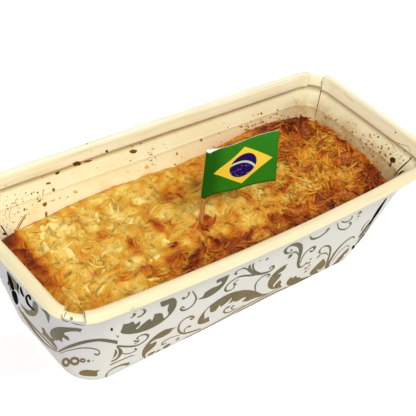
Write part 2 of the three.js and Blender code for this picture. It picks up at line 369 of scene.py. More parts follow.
def color_ramp(tree, value, stops):
    node = add_node(tree, "ShaderNodeValToRGB", {0: value})
    elements = node.color_ramp.elements
    for place, color in stops[1:-1]:
        elements.new(place).color = color
    elements[0].position, elements[0].color = stops[0]
    elements[len(elements) - 1].position, elements[len(elements) - 1].color = stops[-1]
    return node.outputs[0]


def srgb(red, green, blue):
    """A colour given as it looks, from 0 to 255, made linear."""
    def linear(value):
        value /= 255
        return value / 12.92 if value <= 0.04045 else ((value + 0.055) / 1.055) ** 2.4
    return linear(red), linear(green), linear(blue), 1.0


def new_group(name, inputs, outputs, tree_type="ShaderNodeTree"):
    """A node group with its sockets, as its tree, its inputs' values and its output node."""
    tree = bpy.data.node_groups.new(name, tree_type)
    for socket, kind, default in inputs:
        made = tree.interface.new_socket(socket, in_out="INPUT", socket_type="NodeSocket" + kind)
        if default is not None:
            made.default_value = default
    for socket, kind in outputs:
        tree.interface.new_socket(socket, in_out="OUTPUT", socket_type="NodeSocket" + kind)
    return (tree, named_values(tree.nodes.new("NodeGroupInput").outputs),
            tree.nodes.new("NodeGroupOutput"))


def use_group(tree, group, inputs):
    return named_values(add_node(tree, "ShaderNodeGroup", inputs, node_tree=group).outputs)


def new_material(name, **shader_values):
    """A material with one Principled shader, its fixed values set on the shader's sockets."""
    material = bpy.data.materials.new(name)
    material.use_nodes = True
    tree = material.node_tree
    shader = next(n for n in tree.nodes if n.type == "BSDF_PRINCIPLED")
    feed(shader, {key.replace("_", " "): value for key, value in shader_values.items()})
    return material, tree, shader


def bump(tree, height, strength, distance_mm):
    return add_node(tree, "ShaderNodeBump", {"Height": height, "Strength": strength,
                                            "Distance": distance_mm * MM}).outputs["Normal"]


# Shader groups

def make_board_grain():
    """The faint clouding and fibres of coated paper: a shade near 1, and a height."""
    tree, given, out = new_group(
        "board_grain",
        [("Vector", "Vector", None), ("Clouding", "Float", 0.04), ("Fibre Scale", "Float", 900.0)],
        [("Shade", "Float"), ("Height", "Float")])
    clouds = noise_texture(tree, given["Vector"], 45, 4, 0.6)
    fibres = noise_texture(tree, given["Vector"], given["Fibre Scale"], 2, 0.5)
    feed(out, {"Shade": (clouds - 0.5) * given["Clouding"] + 1.0, "Height": fibres * 0.35 + clouds})
    return tree


def make_grease_bloom():
    """Soft stains where fat has soaked into paper: a mask from 0 to 1."""
    tree, given, out = new_group(
        "grease_bloom",
        [("Vector", "Vector", None), ("Spread", "Float", 60.0), ("Cover", "Float", 0.3)],
        [("Mask", "Float")])
    patches = noise_texture(tree, given["Vector"], given["Spread"], 3, 0.55, 0.6)
    feed(out, {"Mask": (patches + (given["Cover"] - 1.0) * 0.72).remap(0.0, 0.22)})
    return tree


def make_crust_color():
    """The crust from pale gold to dark brown, by how browned a place is, darkened in hollows by painted
    shade.
    """
    tree, given, out = new_group(
        "crust_color",
        [("Vector", "Vector", None), ("Browned", "Float", 0.2), ("Tone", "Float", 0.5),
         ("Painted Hollow Shade", "Float", 0.0)], [("Color", "Color"), ("Moisture", "Float")])
    broad = noise_texture(tree, given["Vector"], 110, 4, 0.6)
    fine = noise_texture(tree, given["Vector"], 420, 3, 0.6)
    crumbs = noise_texture(tree, given["Vector"], 1250, 2, 0.6)
    toned = broad * 0.30 + fine * 0.22 + crumbs * 0.24 + given["Tone"] * 0.32
    level = given["Browned"].math("ADD", toned - 0.54, clamp=True)
    crust = color_ramp(tree, level, [
        (0.0, srgb(240, 216, 132)), (0.15, srgb(230, 194, 92)), (0.30, srgb(218, 167, 56)),
        (0.45, srgb(214, 142, 30)), (0.60, srgb(194, 106, 14)), (0.75, srgb(162, 70, 6)),
        (0.88, srgb(128, 46, 3)), (1.0, srgb(88, 28, 3))])
    # Painted shade: the hollow shade value darkens the crust towards a shade colour, paler on pale
    # crust and browner on browned crust.
    hollow_shade_color = mix_colors(tree, given["Browned"].remap(0.25, 0.6), srgb(162, 140, 98),
                     srgb(120, 94, 78))
    feed(out, {"Color": mix_colors(tree, given["Painted Hollow Shade"], crust, hollow_shade_color, "MULTIPLY"),
               "Moisture": broad.remap(0.42, 0.66)})
    return tree


board_grain = make_board_grain()
grease_bloom = make_grease_bloom()
crust_color = make_crust_color()


# Materials

def grained(tree, color, grain):
    """A colour with the board grain's shade over it."""
    shade = add_node(tree, "ShaderNodeCombineColor", {k: grain["Shade"] for k in range(3)})
    return mix_colors(tree, 1.0, color, shade.outputs[0], "MULTIPLY")


def make_white_board():
    """The outside of the case: smooth white coated board, a little grey, with painted shade under the
    roll and on the left end.
    """
    material, tree, shader = new_material("white_coated_board", Roughness=0.45,
                                          Specular_IOR_Level=0.08)
    place = object_coordinates(tree)
    grain = use_group(tree, board_grain, {"Vector": place, "Clouding": 0.05})
    stain = use_group(tree, grease_bloom, {"Vector": place, "Spread": 38.0, "Cover": 0.16})
    x, _, z = parts_of(tree, place)
    # Painted shade: the wall grows darker up towards the roll, where the roll's shadow falls.
    wall = mix_colors(tree, z.remap(0.036, 0.052), srgb(216, 213, 203), srgb(206, 203, 190))
    # Painted shade: the board turns grey towards the left end, the side turned away from the light.
    shaded_board = mix_colors(tree, x.remap(-0.070, -0.092), wall, srgb(196, 192, 192))
    body = mix_colors(tree, stain["Mask"] * 0.35, shaded_board, srgb(216, 208, 186))
    feed(shader, {"Base Color": grained(tree, body, grain),
                  "Normal": bump(tree, grain["Height"], 0.25, 0.12)})
    return material


def make_cream_board():
    """The inside and the rolled rim: cream board, greasy and glossier in places, with painted light and
    shade by place.
    """
    material, tree, shader = new_material("cream_board", Coat_Weight=0.2, Coat_Roughness=0.2,
                                          Specular_IOR_Level=0.3)
    place = object_coordinates(tree)
    grain = use_group(tree, board_grain, {"Vector": place, "Clouding": 0.07})
    stain = use_group(tree, grease_bloom, {"Vector": place, "Spread": 55.0, "Cover": 0.42})
    x, y, z = parts_of(tree, place)
    soaked = stain["Mask"] * (z.remap(0.048, 0.034) * 0.5 + 0.25)
    # Painted light and shade: the roll is lighter at the back and the right end, and darker at the
    # front and the left.
    far = y.remap(0.020, 0.036).math("MAXIMUM", x.remap(0.074, 0.095))
    roll = mix_colors(tree, far, srgb(234, 222, 180), srgb(253, 245, 212))
    # Painted light: the wall below the roll is a brighter cream than the roll.
    painted_light_board = mix_colors(tree, z.remap(0.0502, 0.0525), srgb(255, 248, 208), roll)
    greasy = mix_colors(tree, soaked, painted_light_board, srgb(250, 230, 172))
    warmed = x.remap(0.0, 0.05, 0.0, 0.6) * z.remap(0.048, 0.038)
    toasted = mix_colors(tree, warmed, greasy, srgb(242, 204, 150))
    clouds = noise_texture(tree, place, 80, 4, 0.65)
    # Painted shade with a baked stain: the right end wall grows darker and browner down towards the
    # cake, in clouds.
    right_shade_and_stain = x.remap(0.068, 0.088) * z.remap(0.0525, 0.041)
    baked = mix_colors(tree, right_shade_and_stain * clouds.remap(0.3, 0.62, 0.35, 1.0), toasted,
                       srgb(190, 162, 108))
    turned = mapped(tree, place, Rotation=(0, 0, math.pi / 2))
    rolled = add_node(tree, "ShaderNodeMix", {0: abs(x).remap(0.088, 0.094), 4: place, 5: turned},
                      data_type="VECTOR").outputs[1]
    lines = noise_texture(tree, mapped(tree, rolled, Scale=(0.04, 1, 1)), 560, 3, 0.6)
    faint = z.remap(0.0515, 0.0535) * lines.remap(0.5, 0.72, 0.0, 0.5)
    body = mix_colors(tree, faint, baked, srgb(222, 204, 156))
    streaks = noise_texture(tree, place, 260, 2, 0.5)
    feed(shader, {"Base Color": grained(tree, body, grain),
                  "Roughness": streaks.remap(0.3, 0.7, 0.3, 0.5),
                  "Normal": bump(tree, grain["Height"], 0.3, 0.14)})
    return material


def make_print_ink():
    """The olive brown ink of the scrolls, a little uneven."""
    material, tree, shader = new_material("olive_print_ink", Specular_IOR_Level=0.03)
    place = object_coordinates(tree)
    blotches = noise_texture(tree, place, 150, 3, 0.6)
    warm = parts_of(tree, place)[2].remap(0.040, 0.004, 0.0, 0.8)
    level = warm.math("ADD", blotches * 0.3, clamp=True)
    feed(shader, {"Base Color": mix_colors(tree, level, srgb(92, 92, 72), srgb(122, 102, 58)),
                  "Roughness": blotches.remap(0.3, 0.7, 0.32, 0.5)})
    return material


def make_flat_ink(name, first, second):
    """A flat finish on the board between two colours, used for dark ink, painted shade and painted
    shadow.
    """
    material, tree, shader = new_material(name, Roughness=0.5, Specular_IOR_Level=0.0)
    level = noise_texture(tree, object_coordinates(tree), 220, 3, 0.6).remap(0.35, 0.65)
    feed(shader, {"Base Color": mix_colors(tree, level, first, second)})
    return material


def make_crust(name, coat, subsurface, bump_scale, bump_mm, tone_spread=1.0, tone_shift=0.0):
    """A crust finish: colour from the piece's own browned, tone and painted hollow shade values."""
    material, tree, shader = new_material(
        name, Coat_Roughness=0.12, Specular_IOR_Level=0.16, Subsurface_Weight=subsurface,
        Subsurface_Scale=0.0012, Subsurface_Radius=(1.0, 0.55, 0.2))
    place = object_coordinates(tree)
    crust = use_group(tree, crust_color, {
        "Vector": place, "Browned": attribute_value(tree, "browned"),
        "Tone": attribute_value(tree, "tone") * tone_spread + tone_shift,
        "Painted Hollow Shade": attribute_value(tree, "shelter")})
    grain = noise_texture(tree, place, bump_scale, 4, 0.65)
    feed(shader, {"Base Color": crust["Color"], "Coat Weight": crust["Moisture"] * coat,
                  "Roughness": crust["Moisture"].remap(0.0, 1.0, 0.55, 0.34),
                  "Normal": bump(tree, grain, 0.5, bump_mm)})
    return material


def make_splash_finish():
    """Syrup and crumbs baked on to the board: amber to nearly black."""
    material, tree, shader = new_material("baked_syrup", Coat_Weight=0.08, Coat_Roughness=0.2,
                                          Roughness=0.45, Specular_IOR_Level=0.1)
    cloudy = (noise_texture(tree, object_coordinates(tree), 700) - 0.5) * 0.3
    feed(shader, {"Base Color": color_ramp(tree, attribute_value(tree, "tone") + cloudy, [
        (0.0, srgb(248, 222, 160)), (0.3, srgb(220, 160, 76)), (0.55, srgb(168, 104, 30)),
        (0.8, srgb(106, 60, 16)), (1.0, srgb(44, 24, 8))])})
    return material


def make_pick_wood():
    """Bare wood with fine grain along the pick."""
    material, tree, shader = new_material("bare_pick_wood", Roughness=0.6)
    along = mapped(tree, object_coordinates(tree), Scale=(1, 1, 0.05))
    grain = noise_texture(tree, along, 2600, 3, 0.6)
    feed(shader, {"Base Color": mix_colors(tree, grain.remap(0.35, 0.65), srgb(214, 150, 88),
                                           srgb(180, 106, 46)),
                  "Normal": bump(tree, grain, 0.4, 0.08)})
    return material


def paper_grain(tree, clouding):
    return use_group(tree, board_grain, {"Vector": object_coordinates(tree),
                                         "Clouding": clouding, "Fibre Scale": 2200.0})


def make_flag_print():
    """Green paper printed with a yellow rhombus and a starry blue disc with a pale band."""
    material, tree, shader = new_material("flag_print_paper", Roughness=0.55,
                                          Specular_IOR_Level=0.12)
    sheet = add_node(tree, "ShaderNodeUVMap", uv_map="sheet").outputs[0]
    along, up, _ = parts_of(tree, sheet)
    across, high = along - DISC_MIDDLE[0], up - DISC_MIDDLE[1]

    def inside(value, limit):
        return value.remap(limit + PRINT_EDGE, limit - PRINT_EDGE)

    rhombus = abs(across) / RHOMBUS_HALF[0] + abs(high) / RHOMBUS_HALF[1]
    radius = length_of(tree, across, high * DISC_FLATTENED)
    band_radius = length_of(tree, across - BAND_CENTRE[0], high - BAND_CENTRE[1])
    star_cells = Value(add_node(tree, "ShaderNodeTexVoronoi", {"Vector": sheet, "Scale": 0.75},
                                feature="F1").outputs["Distance"])
    stars = inside(star_cells, 0.2) * band_radius.remap(10.0, 9.4)
    green = mix_colors(tree, along.remap(1.5, 9.0), srgb(22, 96, 12), srgb(44, 126, 22))
    with_rhombus = mix_colors(tree, rhombus.remap(1.012, 0.988), green, srgb(255, 216, 64))
    disc = mix_colors(tree, stars, srgb(30, 4, 92), srgb(150, 140, 190))
    with_band = mix_colors(tree, inside(abs(band_radius - BAND_RADIUS), BAND_HALF), disc,
                           srgb(214, 226, 186))
    printed = mix_colors(tree, inside(radius, DISC_RADIUS), with_rhombus, with_band)
    grain = paper_grain(tree, 0.25)
    feed(shader, {"Base Color": grained(tree, printed, grain),
                  "Normal": bump(tree, grain["Height"], 0.3, 0.1)})
    return material


def make_plain_paper():
    """The flag's unprinted white paper."""
    material, tree, shader = new_material("plain_flag_paper", Roughness=0.6)
    feed(shader, {"Base Color": grained(tree, srgb(240, 238, 228), paper_grain(tree, 0.1))})
    return material


def make_floor_finish():
    material, tree, shader = new_material("pale_floor", Roughness=0.9, Emission_Strength=0.5,
                                          Specular_IOR_Level=0.1)
    clouds = noise_texture(tree, object_coordinates(tree), 3, 2, 0.5)
    feed(shader, {"Base Color": mix_colors(tree, clouds, (0.6, 0.6, 0.6, 1), (0.63, 0.63, 0.63, 1))})
    return material


white_board = make_white_board()
cream_board = make_cream_board()
print_ink = make_print_ink()
dark_ink_and_shadow = make_flat_ink("dark_blue_grey_ink_and_painted_shadow", srgb(4, 6, 6), srgb(22, 30, 30))
shade_ink = make_flat_ink("grey_brown_shade", srgb(120, 112, 96), srgb(160, 152, 134))
crust_body = make_crust("moist_crust", 0.2, 0.08, 900, 0.35)
crust_flake = make_crust("coconut_flake_crust", 0.2, 0.08, 1300, 0.2, 0.5, 0.2)
crust_shred = make_crust("coconut_shred_crust", 0.16, 0.06, 1500, 0.15, 1.1, -0.1)
baked_syrup = make_splash_finish()
pick_wood = make_pick_wood()
flag_print = make_flag_print()
plain_paper = make_plain_paper()


# Paper case

def wall_reach(height):
    """How far the wall has leant out at a height: 0 at the floor, 1 at the roll's centre."""
    return np.interp(height, (0, CREASE_HEIGHT, RIM_HEIGHT), (0, CREASE_REACH, 1))


def wall_sizes(height, out):
    """Half length, half width and corner radius of the wall at a height, out from its middle."""
    reach = wall_reach(height)
    return (lerp(BASE_LENGTH, RIM_LENGTH, reach) / 2 + out,
            lerp(BASE_WIDTH, RIM_WIDTH, reach) / 2 + out,
            np.maximum(lerp(BASE_CORNER, RIM_CORNER, reach) + out, SMALLEST_CORNER))


def side_sizes(side, height, out):
    """Half run, depth and corner radius for a side: 0 front, 1 right, 2 back, 3 left."""
    half_x, half_y, corner = wall_sizes(height, out)
    return (half_x, half_y, corner) if side % 2 == 0 else (half_y, half_x, corner)


def front_bow(x, y, height, out=0):
    """How far the front's bow moves out what lies at a place: nothing behind the middle."""
    half_x, half_y, _ = wall_sizes(height, out)
    along = np.minimum(1, np.abs(x) / half_x)
    return FRONT_BOW * wall_reach(height) ** 2 * (1 - along ** 2) * smoothstep(-y, 0, half_y)


def side_point(side, run, depth, height, out):
    """A point from its run along a side and its depth from the middle, with the front's bow."""
    x, y = [(run, -depth), (depth, run), (-run, depth), (-depth, -run)][side]
    return Vector((x, y - front_bow(x, y, height, out), height))


def turned_point(side, share, turn, height, out):
    """A point by its share of a side's straight run, or its turn into the corner past it."""
    half, depth, corner = side_sizes(side, height, out)
    run = share * (half - corner) + math.copysign(corner * math.sin(abs(turn)), turn)
    return side_point(side, run, depth - corner + corner * math.cos(turn), height, out)


def wall_point(side, along, height, out):
    """A point on the wall by its distance along a side, which goes on round the corners."""
    half, depth, corner = side_sizes(side, height, out)
    straight = half - corner
    past = max(abs(along) - straight, 0)
    turn = min(past / corner, math.pi / 2)
    rest = max(past - corner * math.pi / 2, 0)
    run = math.copysign(min(abs(along), straight) + corner * math.sin(turn), along)
    return side_point(side, run, depth - corner + corner * math.cos(turn) - rest, height, out)


def buckle(x, y, height):
    """How far the board waves in or out at a place above the cake."""
    return BUCKLE * wave(x, y, 24, 24, height / 30) * float(smoothstep(height, 34, 44))


def folded(point):
    """A point moved by the fold that presses in the front right corner under its roll."""
    away = math.hypot(point.x - FOLD_PLACE[0], point.y - FOLD_PLACE[1])
    if away > FOLD_REACH[1]:
        return point
    depth = float(np.interp(point.z, FOLD_HEIGHTS, FOLD_DEPTHS)
                  * smoothstep(-away, -FOLD_REACH[1], -FOLD_REACH[0]))
    return point + Vector((*FOLD_INWARD, 0)) * depth


def roll_section(pinched, where):
    """Heights and distances out round the roll, from its outer foot to its inner foot."""
    scale, drop = (PINCH_SCALE, PINCH_DROP) if pinched else (1, 0)
    swell = 1 + 0.03 * wave(where.x, where.y, 19, 19, 4.1)
    far = float(max(smoothstep(where.y, 20, 38), smoothstep(where.x, 72, 96)))
    right = float(smoothstep(where.x, -10, 60))
    steps = []
    for i in range(ROLL_STEPS + 1):
        angle = math.radians(lerp(ROLL_FROM, ROLL_TO, i / ROLL_STEPS))
        facet = 1 + 0.018 * math.cos(5 * angle + 0.02 * where.x)
        radius = ROLL_RADIUS * scale * swell * facet
        droop, flatten = 1, 1
        if math.cos(angle) < 0:
            droop += lerp(0.42, lerp(1.1, 1.25, right), far) * max(0, -math.sin(angle))
            flatten = lerp(1, lerp(0.48, 0.66, right), far)
        steps.append((RIM_HEIGHT - drop + radius * math.sin(angle) * droop,
                      radius * math.cos(angle) * flatten))
    return steps


def case_section(pinched, where):
    """The whole section as (height, out, zone), zone 0 the white outside and 1 the cream."""
    skin = BOARD / 2
    roll = roll_section(pinched, where)
    steps = [(0, -BASE_EDGE, 0), (0.12, -0.55, 0), (BOARD, skin, 0)]
    steps += [(lerp(BOARD, roll[0][0] - 0.3, (i + 1) / WALL_ROWS), skin, 0) for i in range(WALL_ROWS)]
    white_until = PINCH_WHITE * ROLL_STEPS if pinched else 0
    steps += [(z, out, 0 if i < white_until else 1) for i, (z, out) in enumerate(roll)]
    steps.append((roll[-1][0] + 0.1, -skin - 0.1, 1))
    steps += [(z, -skin - CREASE_GROOVE * (z == CREASE_HEIGHT), 1) for z in INNER_ROWS]
    steps.append((BOARD, -skin - BASE_EDGE / 2, 1))
    return steps


def case_stations():
    """(side, share, turn, pinched) all the way round, close together near the roll's cuts."""
    stations = []
    pinch = np.linspace(math.pi / 4, PINCH_TURN + CUT_GAP_TURN, PINCH_STEPS + 1)
    roll = np.linspace(PINCH_TURN, PINCH_TURN / ROLL_CORNER_STEPS, ROLL_CORNER_STEPS)
    for side in range(4):
        count = SIDE_SHARES if side % 2 == 0 else END_SHARES
        stations += [(side, -1, -turn, True) for turn in pinch]
        stations += [(side, -1, -turn, False) for turn in roll]
        stations += [(side, 2 * i / count - 1, 0, False) for i in range(count + 1)]
        stations += [(side, 1, turn, False) for turn in reversed(roll)]
        stations += [(side, 1, turn, True) for turn in reversed(pinch[1:])]
    return stations


def make_paper_case():
    points, zones = [], []
    stations = case_stations()
    for side, share, turn, pinched in stations:
        where = turned_point(side, share, turn, RIM_HEIGHT, 0)
        for height, out, zone in case_section(pinched, where):
            flat = turned_point(side, share, turn, min(height, RIM_HEIGHT), out)
            out += buckle(flat.x, flat.y, height)
            point = turned_point(side, share, turn, min(height, RIM_HEIGHT), out)
            point.z = height
            points.append(folded(point))
            zones.append(zone)
    rows = len(points) // len(stations)
    rings = [range(r, len(points), rows) for r in range(rows)]
    faces = [face for low, high in zip(rings, rings[1:]) for face in band(low, high)]
    faces += [tuple(reversed(rings[0])), tuple(rings[-1])]
    return mesh_object("paper_loaf_case", points, faces, [white_board, cream_board],
                       face_materials=[zones[face[0]] for face in faces])


paper_case = make_paper_case()
case_surface = surface_tree(paper_case)


# Print on the case's outside
# The front's and the left wall's motifs are placed along their wall and up it.
# A leaf is a list of smooth runs between its sharp corners. Each run goes on from the
# last point of the run before it, and the first from the leaf's last point.

FRONT_LEAVES = [
    [[(-71.5, 37.5), (-71, 34.5), (-66, 30.3), (-60, 27.4), (-54.5, 26.4), (-49.5, 27.6),
      (-46.2, 31.5), (-45.9, 36), (-47.5, 41), (-50, 44.6), (-52, 46)], [(-57.6, 46.8)],
     [(-56, 43.6), (-54.3, 41.3), (-51.2, 41.2)],
     [(-50, 36.2), (-48.3, 33), (-48.2, 31), (-49.4, 29.9)],
     [(-50.6, 32.2), (-52.6, 35.8), (-56.7, 37.9)], [(-56.2, 35), (-56, 32.3)],
     [(-57.2, 34.6), (-58.6, 35.4)], [(-60.5, 33.8), (-62.6, 31.2)], [(-63.6, 32.6)],
     [(-62.3, 34.2), (-63.1, 37.4)], [(-65, 36.3)], [(-66.4, 38.6), (-67.4, 39.8), (-69.3, 39.8)],
     [(-72, 41)]],
    [[(-31, 31.8), (-27.5, 30.8), (-24.3, 31.8), (-22, 34.5), (-21.5, 38.5), (-22.3, 43.4)],
     [(-28.8, 43.7)], [(-28.2, 41.8), (-27.2, 40.2)],
     [(-25.4, 40.4), (-24.3, 39.4), (-24.3, 38.2), (-25.6, 37.5), (-29, 37.9), (-31.8, 36.8)],
     [(-31.6, 35), (-31.8, 33.4)], [(-34.6, 33.7)]],
    [[(-51.5, 4.5), (-52.8, 9), (-52.2, 13.5), (-49.8, 17.2), (-46, 19), (-42.5, 18.2),
      (-37.8, 15.9)],
     [(-40, 16.2)], [(-40.2, 14.6), (-41.3, 13.6)],
     [(-44.6, 13.2), (-47.5, 14), (-49.7, 13.7), (-50.2, 12.4), (-48.8, 11.9), (-47, 12),
      (-46.1, 9.8), (-46.6, 8)], [(-48.6, 6.2), (-49.8, 5.2), (-49.6, 3), (-48.6, 1.3)],
     [(-49.3, 1.3)]],
    [[(-20, 6.9), (-23.5, 8.6), (-25.4, 12), (-25.2, 16.5), (-23.3, 20.8), (-19.5, 23.5),
      (-14.8, 24.5), (-9.5, 23.4), (-3, 20.4), (4, 15.5), (10, 10.2), (14, 7), (19, 5)],
     [(13, 5.8), (8, 7.4), (4.5, 7.7), (1.2, 9.2), (-0.2, 10.2)],
     [(1.3, 11.6), (0.8, 12.8), (-1.3, 13.4), (-3, 12.9)], [(-5.2, 13.1), (-6.8, 14.8)],
    [(-9.6, 14.4)],
     [(-9.3, 17), (-10, 19.8)], [(-11.2, 17.3), (-14, 15.1)], [(-15.2, 16.6), (-15.9, 18)],
     [(-16, 15.6), (-16.6, 13.8)],
     [(-19, 14.3), (-20.6, 16.3), (-21.8, 19.6), (-22.6, 20.2), (-23.6, 18.4), (-23.3, 15.6),
      (-22, 12.6), (-22.2, 11)], [(-20, 11.2), (-18.6, 10.8)], [(-18, 8.8), (-16.8, 6.6)]],
    [[(20, 7), (15.6, 10.3), (12.6, 15), (11.4, 20), (12.6, 24), (15.5, 26.2), (17.5, 26.4),
      (19.4, 25.4)], [(18, 25.3)], [(19.1, 23.6), (18.6, 21.6)], [(16.6, 20.9), (15.2, 20.6)],
     [(17, 19.8), (18.6, 19.3)], [(19.1, 16.6), (18, 13), (17.5, 11.2)], [(18.6, 9.3), (19.3, 8.7)],
     [(19.5, 11), (20.8, 13)], [(23, 10.6), (23.5, 8.3), (25.6, 5.4)]],
    [[(27.8, 7.4), (28, 9.6), (29, 10.4)], [(30.4, 9.2), (31.6, 7.2)], [(31.2, 8.4), (32, 9.6)],
     [(33.8, 8), (34.8, 6.2)], [(36, 6.6)], [(38.5, 4), (42, 2.8), (47, 1.2)],
     [(40, 1.0), (34, 1.4), (31, 3), (29, 5)]],
    [[(45.4, 10), (43.6, 6.6), (44, 4), (46, 2.2), (48.6, 1.5), (51.6, 1.2)],
     [(49.8, 2.8), (48, 5.6)],
     [(50, 3.8), (51.8, 3.4)], [(52.7, 5.6), (51.5, 9), (48, 13.2)]],
    [[(61, 3.4), (63, 8.6), (65.5, 12)], [(66.8, 8.6), (66, 7)], [(64.6, 7)],
     [(65.8, 5.2), (64.8, 2.6)], [(64.4, 1.2)], [(60.6, 1.2)]],
]

